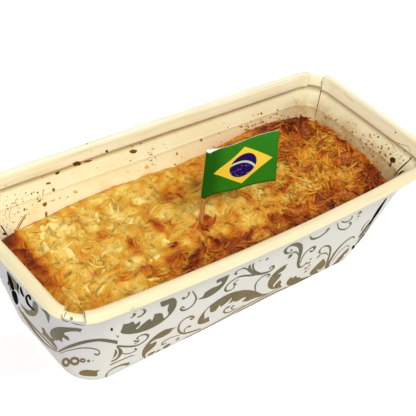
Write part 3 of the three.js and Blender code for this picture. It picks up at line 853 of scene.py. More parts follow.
# Each curl: its points, and its half width at the start, the middle and the end
FRONT_CURLS = [
    ([(-69.9, 24.5), (-67.6, 21), (-66, 17.5), (-66, 14.5), (-67.5, 13.3), (-69.4, 13.6)], 0.3, 0.95,
     0.5),
    ([(-70, 22.5), (-68.8, 19.5), (-68.6, 17), (-69.2, 15.6)], 0.2, 0.7, 0.2),
    ([(-70, 25), (-66, 21.8), (-61.5, 18.6), (-57.8, 16.8), (-54.6, 17.4), (-53.5, 19.6),
      (-54.6, 22), (-57, 23.9), (-59.4, 24.1), (-60, 23.2), (-58.8, 22)], 0.5, 0.5, 0.35),
    ([(-61.1, 22.3), (-59.8, 21), (-58.3, 20.3), (-58.5, 19.4), (-60, 19.2)], 0.5, 0.4, 0.2),
    ([(-66.8, 18.5), (-63.5, 14.8), (-60.8, 13), (-58.5, 12.5), (-57, 13), (-58.6, 15)], 0.2, 0.3,
     0.4),
    ([(-69.3, 10.9), (-66, 10.6), (-60, 10), (-56.6, 8.9)], 0.5, 0.38, 0.2),
    ([(-68.3, 1.2), (-68.7, 4.2), (-66.9, 6.2), (-63, 6), (-59.6, 4.6), (-57.6, 3.1)], 0.35, 0.5,
     0.9),
    ([(-70, 47), (-68.6, 45.6), (-68.5, 44.2), (-69.9, 43.8)], 0.3, 0.65, 0.4),
    ([(-65.6, 47.2), (-63.8, 45), (-63.3, 43), (-64.6, 41.6), (-66.2, 42.3)], 0.3, 0.7, 0.4),
    ([(-43.4, 44.6), (-42.2, 42.5), (-42.4, 40.3), (-43.8, 40.2), (-44.9, 41.8)], 0.3, 0.45, 0.7),
    ([(-41.4, 44), (-38.5, 40), (-36, 36), (-34.9, 32.6), (-35.3, 29.8), (-37.3, 28.6),
      (-39.7, 29.3), (-41.6, 31.2), (-42, 32.8), (-41, 32.6), (-39.8, 31)], 0.25, 0.6, 0.3),
    ([(-20, 3.2), (-26, 4.7), (-31, 6.8), (-34.6, 10.6), (-36.6, 15), (-36.8, 18.6), (-35, 20.5),
      (-32, 20), (-29.8, 17.8), (-29.7, 16.6), (-30.8, 17), (-32, 19)], 0.5, 0.5, 0.35),
    ([(-30.6, 7.6), (-31.6, 9.6), (-31, 11.2), (-29.6, 11.1), (-28.4, 9.9)], 0.25, 0.4, 0.6),
    ([(-33, 7.3), (-37, 8.4), (-40.5, 8.8), (-42.3, 7.8), (-41.8, 6.2), (-40.6, 5.8), (-39.8, 6.4)],
     0.2, 0.4, 0.4),
    ([(-29, 1.2), (-18, 1.3), (-8, 2.2), (0, 3.4), (8, 4.4), (17, 4.9), (26, 5.2)], 0.35, 0.5, 0.3),
    ([(0, 1.2), (8, 2), (16, 2.8), (24, 2.8), (32, 1.8)], 0.3, 0.55, 0.4),
    ([(-7.6, 10.8), (-9, 11.4), (-10, 10), (-9.2, 7.8), (-6.5, 6), (-3, 5.4), (4, 5.3)], 0.8, 0.4,
     0.2),
    ([(-4.4, 9.4), (-5.4, 10), (-5.5, 8.8), (-4.2, 7), (-2, 6.2)], 0.7, 0.35, 0.2),
    ([(-12, 44), (-10.4, 40.5), (-7, 36), (-3, 32.2), (1, 29.6), (5, 28), (7.8, 27.7), (8.8, 29),
      (7.8, 31), (6.2, 31.9), (5.8, 30.8), (7.3, 29.5)], 0.7, 0.75, 0.3),
    ([(-10, 44), (-8.6, 40.5), (-5.5, 36), (-2, 32.6), (1, 30.4)], 0.5, 0.4, 0.2),
    ([(-17, 40.2), (-18.6, 42), (-18, 43.6), (-15.5, 43.6), (-12.5, 41.4), (-9, 37.4), (-6, 34.6)],
     0.6, 0.4, 0.2),
    ([(-1, 30.4), (-6, 32.8), (-11, 35.6), (-15, 36.8), (-18.3, 35.2), (-19.1, 32), (-17.4, 28.8),
      (-14.8, 27.4), (-12.8, 27.9), (-13.6, 29.8)], 0.6, 0.55, 0.35),
    ([(-12.3, 30.2), (-13.8, 31), (-14.8, 32.6), (-14.2, 33.9), (-12.8, 34)], 0.7, 0.38, 0.2),
    ([(-6.8, 44), (-5.6, 42.9)], 0.2, 0.35, 0.2),
    ([(-2.1, 43), (-1.6, 41.8), (-1.3, 40.8)], 0.2, 0.75, 0.2),
    ([(12.6, 40.2), (14.2, 38.6), (13.6, 37.2), (11.6, 38), (9.2, 40.6), (8.3, 43), (9.4, 44.6),
      (12, 44.2), (16, 41.6), (19.6, 38), (22.4, 33.4), (24.8, 28), (27, 22.6), (29.4, 18.4),
      (31.8, 16), (34.2, 16.6), (34.3, 18.6)], 0.4, 1.15, 0.5),
    ([(23.4, 29.5), (20.5, 33), (18, 35.2), (15.8, 35.6), (15, 34)], 0.25, 0.5, 0.4),
    ([(15.6, 34.2), (16.4, 33), (17.2, 31.6)], 0.4, 1.5, 0.4),
    ([(29.2, 20.5), (28.2, 24), (27.6, 27.4), (28.3, 30), (30.2, 31.2), (32.4, 30.6), (33.7, 28.4),
      (33, 26.9), (31.7, 27.7), (30.9, 29)], 0.25, 0.75, 0.4),
    ([(21.2, 45.2), (22.4, 43.2), (25, 40.6), (28.5, 39), (31.5, 39.2), (33.4, 41.2), (33.2, 43.8)],
     0.25, 0.7, 1.0),
    ([(9.5, 10.6), (6.5, 13.2), (4.6, 16.4), (3, 20), (2.6, 23), (4, 25.3), (6.6, 25.6), (8.8, 24.4),
      (9.4, 23), (8.2, 22.8)], 0.2, 0.5, 0.5),
    ([(37.6, 45), (40.2, 41.4), (43.6, 37.4), (48, 34.4), (51, 33.4), (52.2, 34.8), (51.4, 37),
      (49.9, 38.4), (49.2, 37.6)], 0.25, 0.45, 0.5),
    ([(40.2, 44.8), (43, 42.4), (46, 40.9), (48.2, 41), (48.4, 42.6), (47, 44.8)], 0.25, 0.5, 0.3),
    ([(51, 46), (53, 43.8), (53.9, 42.9)], 0.3, 0.8, 0.3),
    ([(51, 44.5), (52.4, 42.8)], 0.2, 0.3, 0.2),
    ([(41.9, 21), (40.2, 22.2), (39.4, 24.4), (40.3, 26), (43, 25.4), (46.4, 22.8), (49.4, 18.6),
      (51.6, 13.4), (53.6, 7), (55.6, 1.3)], 0.5, 0.5, 0.7),
    ([(42.2, 17.2), (41.8, 18.4), (42.6, 19.4), (45.4, 18.8), (48, 17), (50.2, 14.6)], 0.8, 0.45,
     0.2),
    ([(57, 1.3), (55.6, 5), (55.2, 10), (55.4, 15), (57.4, 19), (60.6, 21.2), (63.4, 20.8),
      (65.4, 18.6)], 1.0, 0.9, 0.25),
    ([(57.8, 6), (58.2, 10), (59.5, 13), (61.8, 14.8), (63.6, 14.2), (65.6, 12.2)], 0.2, 0.32, 0.2),
    ([(68.5, 30.5), (67, 28), (66.8, 25), (67.8, 22.6)], 0.3, 0.5, 0.3),
]

# Dots: place, and half sizes along and up
FRONT_DOTS = [
    ((-46.3, 2.8), 1.9, 1.0), ((-42.6, 2.0), 1.3, 0.6), ((-38.3, 2.6), 2.0, 1.3),
    ((-33.2, 4.3), 1.0, 0.9), ((36.4, 19.4), 0.8, 0.6), ((35.6, 16.8), 0.9, 0.5),
    ((37.2, 16.4), 0.6, 0.8), ((37.3, 12.3), 1.1, 0.8), ((38.8, 13.4), 0.8, 0.6),
    ((38.8, 8.9), 1.0, 0.7), ((40.2, 10.1), 0.6, 0.4), ((53.6, 41), 0.5, 0.5),
    ((54.5, 40.3), 0.4, 0.5), ((54.8, 38.2), 0.35, 0.4),
]

LEFT_LEAVES = [
    [[(-34.6, 47.6), (-30, 44.6), (-25, 40.2), (-20, 34.4), (-16.4, 28.4), (-15.4, 26)],
     [(-16.4, 25)],
     [(-19.5, 26.8), (-23.9, 29.6)], [(-24.6, 31.8)], [(-26.5, 32.8), (-27.9, 34)],
     [(-28.2, 35.8), (-27, 37.8)], [(-25.6, 36.9)], [(-26.8, 38.8), (-29.5, 39.2)],
     [(-31, 41.4), (-33.1, 43.2)], [(-34.6, 45.4), (-36, 47)]],
    [[(-20, 41), (-18.5, 36.8), (-15.2, 31)], [(-16.8, 36), (-16.2, 39.8), (-14.6, 41.6)],
     [(-17, 41.8), (-20, 43.4)]],
    [[(-12, 5), (-8.5, 3.4), (-6, 1.2)], [(-12, 1.2), (-14.6, 3), (-17, 7.5)]],
    [[(-14.8, 14), (-10, 9.6), (-5, 7.2), (0, 6.3), (5, 7.4), (9, 9.6), (10, 12.4)],
     [(6, 11.2), (1, 11), (-2.4, 11.8)], [(-5, 16.4), (-9.4, 22.4)], [(-11.4, 19.6)],
     [(-9.6, 16.4), (-8, 14.8)], [(-11.4, 17), (-14.6, 18.6)]],
    [[(-11.4, 36), (-8.6, 29.6), (-5, 24.6), (0, 19.8), (5, 18), (8.6, 19)],
     [(5, 20.6), (1.6, 22), (-2, 26.4), (-4.4, 30), (-6.6, 34.6), (-8, 38.8)],
     [(-9, 40.8), (-12.2, 41)]],
]

LEFT_CURLS = [
    ([(-16, 26.2), (-14, 22.5), (-11, 19), (-7.5, 15.8)], 0.6, 0.7, 0.3),
    ([(-35, 35.6), (-31, 31.6), (-27, 27.4), (-22.5, 22.4), (-18.5, 17.6), (-14.8, 12.4),
      (-10.5, 9), (-5, 6.6), (2, 5.8)], 1.0, 0.6, 0.4),
    ([(-33, 30), (-30.5, 29), (-27, 26), (-23, 21.6), (-19, 16.6), (-15.4, 12), (-11, 8)],
     0.35, 0.3, 0.3),
    ([(-7, 38.4), (-4.4, 36.4), (-3, 32.8)], 0.4, 0.9, 0.3),
    ([(-7, 32), (-4.4, 31), (-2.4, 29.4)], 0.5, 0.9, 0.4),
    ([(-1, 39), (0, 36), (1, 32.5)], 0.5, 0.9, 0.3),
    ([(1, 39), (2.6, 35), (5, 30), (8, 26)], 0.6, 1.1, 0.5),
    ([(-4, 31), (0, 26), (4, 22.5)], 0.2, 0.35, 0.2),
]

LEFT_DOTS = [((-30.6, 18.8), 0.3, 0.7), ((14, 24), 1.2, 2.6), ((17, 14), 1.0, 2.2)]

# Rings: place, half sizes, half width of the line
LEFT_RINGS = [((-24.6, 15.2), 1.9, 2.3, 0.65), ((-27.9, 18.2), 0.9, 1.2, 0.45),
              ((-29.5, 18.6), 0.45, 0.75, 0.3), ((-19, 9), 2.0, 2.5, 0.6)]

# The motifs of the left wall and the near corner, by the photograph's pixels
CORNER_LEAVES = [
    [[(52, 329.2), (58, 327), (66.3, 327.3), (75.3, 327.8), (82.1, 328.9)], [(80.3, 332.2)],
     [(77.6, 331.3), (70.8, 331.3), (64.8, 332.4)], [(64.2, 334.6), (67.8, 336.6), (69.6, 340.6)],
     [(66.3, 339.4), (63.3, 337.1)], [(62, 338.6), (62.7, 342.1)], [(59.5, 340.2), (57.2, 339.1)],
     [(57.8, 340.8)], [(53.2, 338.6), (49.7, 333.1)]],
    [[(42.8, 330.7), (42.4, 333.6)], [(47.2, 338.4), (52.2, 343.8), (57.6, 349.8)],
     [(56.6, 346.6), (53.4, 341.3)], [(55.4, 340.2)], [(50.5, 337.3), (46.4, 332.8), (44.2, 328.3)],
     [(41.2, 327.4)]],
    [[(46.4, 311.2), (49.9, 316.8), (48.5, 323.2)], [(47, 318.2), (45, 313.3), (40.8, 308.4)]],
    [[(37.2, 304.2), (38, 310.8), (35, 316), (28.1, 314.7), (23.2, 308.4), (20.8, 303.8)],
     [(26, 308.8), (30.2, 310.8)], [(32.3, 307.4), (33, 300.7)]],
    [[(12, 276.4), (16.9, 283.1), (18.6, 288), (19, 294.2)],
     [(16.4, 290), (13.4, 288.6), (10.6, 290.8)], [(8.4, 281.7), (7.4, 270.8)]],
    [[(67.8, 345.6), (82.8, 340.8), (96.4, 338.8), (105.4, 338.8), (117.6, 340.8)], [(117.2, 344)],
     [(105.4, 341.9), (96.4, 341.3), (82.8, 343.9), (67.8, 348.6), (59, 352.2)], [(58, 351.1)]],
    [[(58, 356), (61.8, 359.6), (62.6, 366)], [(58.8, 361.6), (52.5, 352.7)]],
    [[(81.3, 370.7), (87.3, 369.8), (95, 370.5), (99.8, 369.8)],
     [(97.1, 372.5), (97.6, 374.8), (96.2, 376.2)], [(88.9, 376), (82.1, 375.2), (78.6, 373.3)]],
]
CORNER_CURLS = [
    ([(18, 306.4), (22.6, 314.2), (29.0, 323.6), (37.4, 334.6), (47, 345), (57.2, 352)], 0.5, 0.8,
     0.4),
    ([(21.8, 311.4), (26.8, 318.2), (33, 325.8), (40.2, 333.6), (48.4, 342.6), (57.4, 350.8)], 0.4,
     0.6, 0.4),
    ([(59.5, 353.7), (67.8, 350.7), (79.8, 348.1), (90.4, 348.1), (97.6, 349.9), (99.7, 352.6),
      (97.2, 354.8), (93.8, 353.6)], 0.25, 0.5, 0.7),
    ([(62, 314.5), (62.4, 318.6), (66.4, 321.6), (69.0, 321.0)], 0.4, 0.35, 0.25),
    ([(69.6, 318.4), (71.8, 317.8), (72.2, 319.4), (70.2, 319.8)], 0.5, 0.6, 0.4),
    ([(116.2, 335.2), (117.6, 336.8), (118.8, 335.6)], 0.3, 0.5, 0.3),
    ([(364.8, 233.4), (362.2, 237.4), (359.4, 242.6)], 0.5, 1.7, 0.5),
]
CORNER_RINGS = [((66.0, 362.2), 2.9, 3.3, 1.3), ((74.7, 361.0), 3.7, 3.0, 1.3),
                ((82.7, 360.4), 2.2, 1.4, 0.8), ((88.6, 360.9), 1.2, 0.8, 0.45)]
CORNER_DOTS = [((93.1, 360.6), 0.5, 0.45)]
# Dark ink and painted shadow: the left end's dark print with its fold's shadow, the gap at the front
# right corner, and the slit inside the right corner.
CORNER_DARK_LEAVES = [
    [[(10.4, 276.4), (12.8, 282.4), (14.6, 288.8)], [(13.2, 290.6), (11.2, 287)],
     [(8.6, 279.6), (6.8, 271.4)]],
    [[(15.2, 291.2), (17.4, 296.6), (18.4, 302.4)], [(16.9, 304.8), (14.6, 301.4)],
     [(12.8, 296.6), (11.6, 290.8)]],
]
CORNER_DARK_CURLS = [
    ([(16.9, 283.1), (18.2, 285.9), (17.8, 290.1)], 0.4, 0.9, 0.5),
    ([(20.4, 286.6), (21.8, 292.2), (24.4, 297.2)], 0.8, 1.0, 0.4),
    ([(30.9, 300), (28.8, 295.4), (26.4, 297.4), (28.1, 303.5), (31.2, 307.2), (35.3, 310.5)], 0.9,
     1.0, 0.6),
    ([(8.6, 281), (8.4, 283), (8.9, 285.2)], 0.4, 0.7, 0.3),
    ([(112.4, 327.8), (111.6, 329.4), (112.6, 330.6)], 0.4, 1.2, 0.4),
    # Painted shadow: the gap at the front right corner's fold, then the slit inside the right corner.
    ([(386.6, 198.0), (382.2, 204.4), (377.2, 212.0), (372.8, 218.6), (368.8, 224.6)], 0.5, 1.15,
     0.3),
    ([(354.4, 245.2), (353.2, 247.2), (352.2, 249.2)], 0.4, 1.2, 0.4),
    ([(371.0, 220.4), (365.4, 228), (360.6, 234.4), (358.4, 237.4)], 0.2, 0.3, 0.2),
    ([(393.6, 176.4), (397.6, 171.6), (402.6, 166.4), (408.6, 161.0), (412.4, 156.6)], 0.3, 0.6, 0.3),
    ([(398.4, 174.8), (401.2, 172.4), (404.4, 170.6)], 0.3, 0.8, 0.3),
]
CORNER_SHADE_CURLS = [
    ([(69.4, 306.2), (67.6, 310), (64.6, 315.4), (62.8, 321.6)], 0.3, 0.5, 0.3),
    ([(84.2, 309.8), (84.6, 315), (85.6, 320.6), (86, 325.4)], 0.6, 0.5, 0.25),
    ([(70.5, 309.4), (74, 311), (79, 311.8), (83.6, 314)], 0.1, 0.35, 0.1),
    ([(76, 308.4), (79.4, 310.6), (83.2, 311.8)], 0.1, 0.3, 0.1),
    ([(70, 321.8), (76.6, 324.2), (85, 325.6)], 0.15, 0.5, 0.2),
    ([(376.4, 214.4), (370.6, 222.8), (364.8, 231.4), (359.6, 239.6), (354.6, 247)], 0.4, 1.7, 0.6),
]

PRINT_LIFT = 0.07
PRINT_FOOT = -0.02
LAYER_STEP = 0.03
CASE_PIXEL = (190, 270)
NEAR_STEP, NEAR_TRIES = 0.4, 10
LEFT_WALL_SHIFT, LEFT_WALL_END = 52, 41
LEAF_NET = 3.5


def leaf_shape(runs):
    """A filled outline of smooth runs between sharp corners, as points and triangles."""
    outline, corner = [], runs[-1][-1]
    for run in runs:
        outline.extend(spline([corner, *run], 4 if len(run) > 1 else 1)[:-1])
        corner = run[-1]
    outline = [Vector((float(x), float(y))) for x, y in outline]
    count = len(outline)
    spans = [np.arange(min(p[k] for p in outline) + 1, max(p[k] for p in outline), LEAF_NET)
             for k in range(2)]
    inner = [Vector((x, z)) for x in spans[0] for z in spans[1]]
    edges = [(i, (i + 1) % count) for i in range(count)]
    points, _, faces, _, _, _ = geometry.delaunay_2d_cdt(outline + inner, edges, [], 1, 1e-4)
    return [tuple(p) for p in points], [tuple(f) for f in faces]


def sideways(path):
    """The direction across a path at each of its points."""
    tangent = np.gradient(path, axis=0)
    tangent /= np.maximum(np.linalg.norm(tangent, axis=1, keepdims=True), 1e-9)
    return np.stack([-tangent[:, 1], tangent[:, 0]], 1)


def curl_shape(points, start, middle, end):
    """A stroke along a spline whose half width swells and tapers, as points and quads."""
    path = spline(points, 4)
    share = np.linspace(0, 1, len(path))
    half = np.where(share < 0.5, lerp(start, middle, smoothstep(share, 0, 0.5)),
                    lerp(middle, end, smoothstep(share, 0.5, 1)))
    rounded = np.sqrt(np.clip(1 - (1 - np.minimum(share, 1 - share) / 0.06).clip(0, 1) ** 2, 0.02, 1))
    reach = sideways(path) * (half * rounded)[:, None]
    flat = np.stack([path - reach, path, path + reach], 1).reshape(-1, 2)
    faces = [(3 * i + k, 3 * i + 3 + k, 3 * i + 4 + k, 3 * i + 1 + k)
             for i in range(len(path) - 1) for k in range(2)]
    return [tuple(p) for p in flat], faces


def oval(centre, half_along, half_up, count):
    return [(centre[0] + half_along * math.cos(a), centre[1] + half_up * math.sin(a))
            for a in turns(count)]


def dot_shape(centre, half_along, half_up):
    return [centre, *oval(centre, half_along, half_up, 14)], fan(0, range(1, 15))


def ring_shape(centre, half_along, half_up, line):
    inner, outer = (oval(centre, half_along + grow, half_up + grow, 20) for grow in (-line, line))
    return inner + outer, flipped(band(range(20), range(20, 40)))


def all_shapes(leaves, curls, dots=(), rings=()):
    return [make(*given) for make, many in (
        (leaf_shape, [(leaf,) for leaf in leaves]), (curl_shape, curls), (dot_shape, dots),
        (ring_shape, rings)) for given in many]


def thin_solid(shape, place_on, points, faces):
    """Adds a flat shape as a thin closed solid laid on a wall by place_on(along, up, lift)."""
    flat, shape_faces = shape
    base, count = len(points), len(flat)
    top, foot = ([place_on(a, h, lift) for a, h in flat] for lift in (PRINT_LIFT, PRINT_FOOT))
    points.extend(top + foot)
    used = set()
    for face in shape_faces:
        corners = [top[i] for i in face]
        outward = (corners[1] - corners[0]).cross(corners[2] - corners[0])
        toward = corners[0] - foot[face[0]]
        face = face if outward.dot(toward) > 0 else tuple(reversed(face))
        faces.append(tuple(base + i for i in face))
        faces.append(tuple(base + count + i for i in reversed(face)))
        used.update(zip(face, face[1:] + face[:1]))
    faces.extend((base + b, base + a, base + count + a, base + count + b)
                 for a, b in sorted(used) if (b, a) not in used)


def on_wall(side, mirrored, shift):
    """How a flat shape's place along and up becomes a place on a wall."""
    def place_on(along, up, lift):
        skin = BOARD / 2
        flat = wall_point(side, along * mirrored + shift, up, skin)
        return folded(wall_point(side, along * mirrored + shift, up,
                                 skin + buckle(*flat) + lift))
    return place_on


def on_case(pixel, lift):
    """The case's point that a pixel sees, lifted a little; just past the case, its outline's."""
    inward = (Vector(CASE_PIXEL) - Vector(pixel)).normalized() * NEAR_STEP
    for step in range(NEAR_TRIES):
        ray = photo_ray(Vector(pixel) + inward * step)
        hit, normal, _, _ = case_surface.ray_cast(CAMERA_PLACE, ray)
        if hit is not None:
            return hit + normal * lift
    return None


def make_print():
    """The scrolls of all four walls, then by pixels the painted shades, the near motifs and the darkest
    marks of ink and painted shadow.
    """
    points, faces, materials = [], [], []
    front = all_shapes(FRONT_LEAVES, FRONT_CURLS, FRONT_DOTS)
    left = all_shapes(LEFT_LEAVES, LEFT_CURLS, LEFT_DOTS, LEFT_RINGS)
    kept = [shape for shape in left
            if max(along for along, _ in shape[0]) + LEFT_WALL_SHIFT < LEFT_WALL_END]
    for shapes, laid in ((front, on_wall(0, 1, 0)), (front, on_wall(2, 1, 0)),
                         (left, on_wall(1, -1, 0)), (kept, on_wall(3, -1, -LEFT_WALL_SHIFT))):
        for shape in shapes:
            thin_solid(shape, laid, points, faces)
    materials += [0] * len(faces)
    layers = ((2, all_shapes([], CORNER_SHADE_CURLS)),
              (0, all_shapes(CORNER_LEAVES, CORNER_CURLS, CORNER_DOTS, CORNER_RINGS)),
              (1, all_shapes(CORNER_DARK_LEAVES, CORNER_DARK_CURLS)))
    for over, (slot, shapes) in enumerate(layers):
        def laid(x, y, lift):
            return on_case((x, y), lift + over * LAYER_STEP)
        for shape in shapes:
            if all(on_case(place, 0) is not None for place in shape[0]):
                thin_solid(shape, laid, points, faces)
        materials += [slot] * (len(faces) - len(materials))
    return mesh_object("scroll_print", points, faces, [print_ink, dark_ink_and_shadow, shade_ink],
                       smooth=False, face_materials=materials)


scroll_print = make_print()


# Splashes baked on to the board, each placed by a pixel of the photograph:
# pixel, half size in pixels, turn in degrees, tone from 0 pale to 1 black

SPLASHES = [
    ((77, 163.6), (5.2, 2.7), 12, 0.84), ((75.6, 164.4), (2.8, 1.3), 12, 0.62),
    ((88.0, 161.2), (5.4, 1.1), 12, 0.7), ((57.4, 173.1), (2.8, 1.4), 28, 0.88),
    ((106.7, 151.3), (1.6, 1.5), 0, 0.82), ((133.4, 151.4), (3.8, 2.2), 8, 0.74),
    ((133.0, 151.0), (2.2, 1.0), 8, 0.48), ((132.3, 146.4), (1.6, 0.4), 12, 0.7),
    ((140.8, 143.8), (2.0, 0.5), 10, 0.75), ((48.3, 183.4), (2.9, 1.1), 10, 0.62),
    ((53.6, 189.7), (1.9, 2.3), 0, 0.62), ((44.7, 204.4), (2.8, 2.2), 20, 0.6),
    ((39.3, 201.1), (2.2, 1.2), 20, 0.55), ((43.2, 191.2), (0.8, 2.4), 0, 0.3),
    ((54.6, 200.0), (1.0, 0.6), 0, 0.42), ((46.1, 214.6), (1.5, 3.3), 0, 0.58),
    ((75.1, 192.0), (2.2, 1.7), 0, 0.2), ((97.3, 167.8), (0.8, 0.8), 0, 0.25),
    ((130.6, 160.8), (1.2, 0.6), 10, 0.68), ((146.5, 167.0), (2.2, 1.8), 0, 0.18),
    ((151.1, 160.5), (1.6, 0.7), 25, 0.5), ((151.1, 154.5), (2.0, 0.6), 10, 0.52),
    ((152.8, 148.9), (2.0, 0.6), 5, 0.5), ((177.0, 153.7), (1.2, 1.7), 0, 0.45),
    ((175.0, 164.4), (1.3, 0.7), 0, 0.6), ((154.5, 164.8), (0.5, 0.4), 0, 0.5),
    ((13.7, 203.2), (3.4, 0.5), 12, 0.5), ((16.4, 199.6), (2.4, 0.4), 40, 0.45),
    ((7.5, 196.8), (1.2, 0.5), 0, 0.3), ((12.8, 238.0), (4.6, 1.8), 8, 0.88),
    ((4.4, 234.0), (2.2, 1.4), -30, 0.85), ((87.0, 143.8), (1.2, 0.5), 0, 0.7),
    ((5.6, 185.6), (1.6, 0.5), 0, 0.3), ((42.6, 177.6), (0.7, 0.4), 0, 0.7),
    ((392.8, 159.8), (3.0, 3.2), 20, 0.95), ((390.4, 164.6), (1.3, 2.8), -18, 0.84),
    ((325.8, 117.2), (1.5, 1.7), 0, 0.46), ((329.0, 115.0), (0.8, 0.9), 0, 0.4),
    ((336.2, 120.0), (1.8, 0.9), 10, 0.5), ((353.0, 123.2), (0.8, 0.6), 0, 0.5),
    ((360.3, 139.4), (0.8, 1.8), 0, 0.48), ((370.0, 136.2), (0.8, 1.7), 0, 0.5),
    ((382.0, 146.6), (0.8, 1.6), 0, 0.52), ((379.6, 152.2), (1.0, 1.0), 0, 0.55),
    ((373.0, 156.2), (1.1, 1.2), 0, 0.55), ((351.0, 140.0), (0.8, 1.2), 0, 0.5),
    ((364.0, 148.0), (0.8, 0.7), 0, 0.5), ((201.2, 140.2), (1.5, 1.6), 0, 0.5),
    ((219.0, 133.2), (1.8, 0.8), 10, 0.3), ((247.0, 129.6), (3.0, 1.0), -20, 0.4),
    ((255.0, 124.6), (2.4, 0.9), 30, 0.34), ((262.0, 122.0), (2.6, 1.1), 16, 0.42),
    ((270.5, 117.4), (2.2, 0.9), 40, 0.38), ((276.5, 114.0), (2.0, 1.1), 12, 0.42),
    ((281.4, 115.8), (1.2, 0.8), 0, 0.5), ((250.8, 121.0), (1.2, 0.6), 0, 0.35),
]

# Folds, seams and trickles, as paths of pixels: points, half width in pixels, tone
TRICKLES = [
    ([(321.8, 80.6), (321.2, 89), (318, 104), (314.9, 118)], 0.55, 0.72),
    ([(293.0, 98), (300, 107), (308.5, 116)], 0.35, 0.3),
    ([(298, 99), (304, 107.5), (310.5, 113.5)], 0.3, 0.26),
    ([(26.5, 214.3), (22.6, 220.4), (18.6, 227.6), (16.2, 232.4)], 0.8, 0.6),
    ([(24.8, 214.8), (19.6, 222.6), (15.2, 231.0)], 0.5, 0.5),
    ([(0.4, 225.2), (3.4, 229.2), (7.6, 235.6)], 0.9, 0.85),
    ([(7.6, 205.4), (5.4, 212.4), (6.2, 219)], 0.3, 0.35),
    ([(12.2, 207), (9.2, 214), (10, 222)], 0.3, 0.4),
    ([(387, 136.4), (393, 140.6), (400, 144), (408, 146.4), (410.4, 152)], 0.35, 0.5),
    ([(387, 137.8), (393.4, 146), (396.6, 151.6)], 0.3, 0.3),
    ([(344, 93), (349, 97.6), (354, 103)], 0.3, 0.3),
]

# Fields of small specks: middle pixel, spread in pixels, number, largest half size, tone
SPECK_FIELDS = [
    ((16, 209), (14, 10), 60, 1.1, 0.5), ((36, 198), (15, 9), 30, 1.1, 0.48),
    ((7, 224), (6, 9), 20, 0.9, 0.55), ((60, 196), (22, 10), 12, 0.8, 0.3),
    ((130, 170), (40, 8), 18, 0.8, 0.3), ((200, 146), (40, 7), 12, 0.8, 0.35),
    ((345, 134), (22, 10), 60, 1.1, 0.5), ((374, 150), (16, 12), 110, 1.1, 0.56),
    ((394, 156), (12, 9), 50, 1.0, 0.56), ((285, 117), (24, 5), 44, 1.2, 0.42),
    ((250, 127), (18, 4), 40, 1.3, 0.4), ((146, 158), (16, 10), 26, 0.9, 0.42),
    ((120, 158), (60, 12), 24, 0.7, 0.4), ((136, 309), (7, 2.4), 26, 0.7, 0.42),
]

SPECK_LIFT = 0.1
SPECK_FOOT, SPECK_ROOT = -0.03, -0.15


def blob(pixel, half, turn, tone, draw, made):
    """A low domed blot with a ragged edge on the case."""
    points, faces, tones = made
    around = 12 if max(half) > 1 else 7
    spin = math.radians(turn)
    ragged = [draw.uniform(0.8, 1.18) for _ in range(around)]
    thick = SPECK_LIFT + 0.06 * min(half)

    def landed(share, lift):
        ring = []
        for rough, a in zip(ragged, turns(around)):
            u, v = (size * share * rough * way for size, way in zip(half, (math.cos(a), math.sin(a))))
            ring.append(on_case((pixel[0] + u * math.cos(spin) + v * math.sin(spin),
                                 pixel[1] + v * math.cos(spin) - u * math.sin(spin)), lift))
        return ring

    new = [on_case(pixel, thick), *landed(0.65, thick * 0.8), *landed(1, SPECK_FOOT),
           on_case(pixel, -0.12)]
    if any(p is None or (p - new[0]).length > 3 * max(half) for p in new):
        return
    base = len(points)
    points.extend(new)
    inner, outer = (ring_numbers(base + 1, row, around) for row in range(2))
    faces += [*flipped(fan(base, inner)), *band(inner, outer), *fan(base + len(new) - 1, outer)]
    tones.extend([tone] * len(new))


def trickle(path, half, tone, made):
    """A thin raised line on the case that follows a path of pixels."""
    points, faces, tones = made
    places = spline(path, 6)
    shares = np.linspace(0, 1, len(places)).clip(0.08, 0.92)
    reach = half * (0.35 + 0.65 * np.sin(math.pi * shares) ** 0.5)
    rows = [[on_case(place - side, SPECK_FOOT), on_case(place, SPECK_LIFT),
             on_case(place + side, SPECK_FOOT), on_case(place, SPECK_ROOT)]
            for place, side in zip(places, sideways(places) * reach[:, None])]
    if any(p is None for row in rows for p in row):
        return
    base, last = len(points), len(points) + 4 * (len(rows) - 1)
    for row in rows:
        points.extend(row)
    faces += [*flipped(tube(base, len(rows), 4)), tuple(range(base, base + 4)),
              tuple(range(last + 3, last - 1, -1))]
    tones.extend([tone] * (4 * len(rows)))


def make_splashes():
    draw = random.Random(7)
    made = ([], [], [])
    for splash in SPLASHES:
        blob(*splash, draw, made)
    for path, half, tone in TRICKLES:
        trickle(path, half, tone, made)
    for middle, spread, number, largest, tone in SPECK_FIELDS:
        for _ in range(number):
            pixel = [draw.gauss(m, s * 0.6) for m, s in zip(middle, spread)]
            size = largest * draw.uniform(0.2, 1) ** 1.6
            blob(pixel, (size, size * draw.uniform(0.5, 1.3)), draw.uniform(0, 180),
                 tone + draw.uniform(-0.25, 0.25), draw, made)
    points, faces, tones = made
    piece = mesh_object("baked_splashes", points, faces, [baked_syrup])
    point_attributes(piece.data, tone=tones)
    rework(piece.data, face_outwards)
    return piece


baked_splashes = make_splashes()


# Cake

INSIDE = BOARD / 2 + GAP


def cake_level(x):
    """The top's height along the cake without its lumps."""
    return CAKE_LEVEL - LEFT_DROP * smoothstep(-x, 42, 92) + RIGHT_RISE * smoothstep(x, 12, 66)


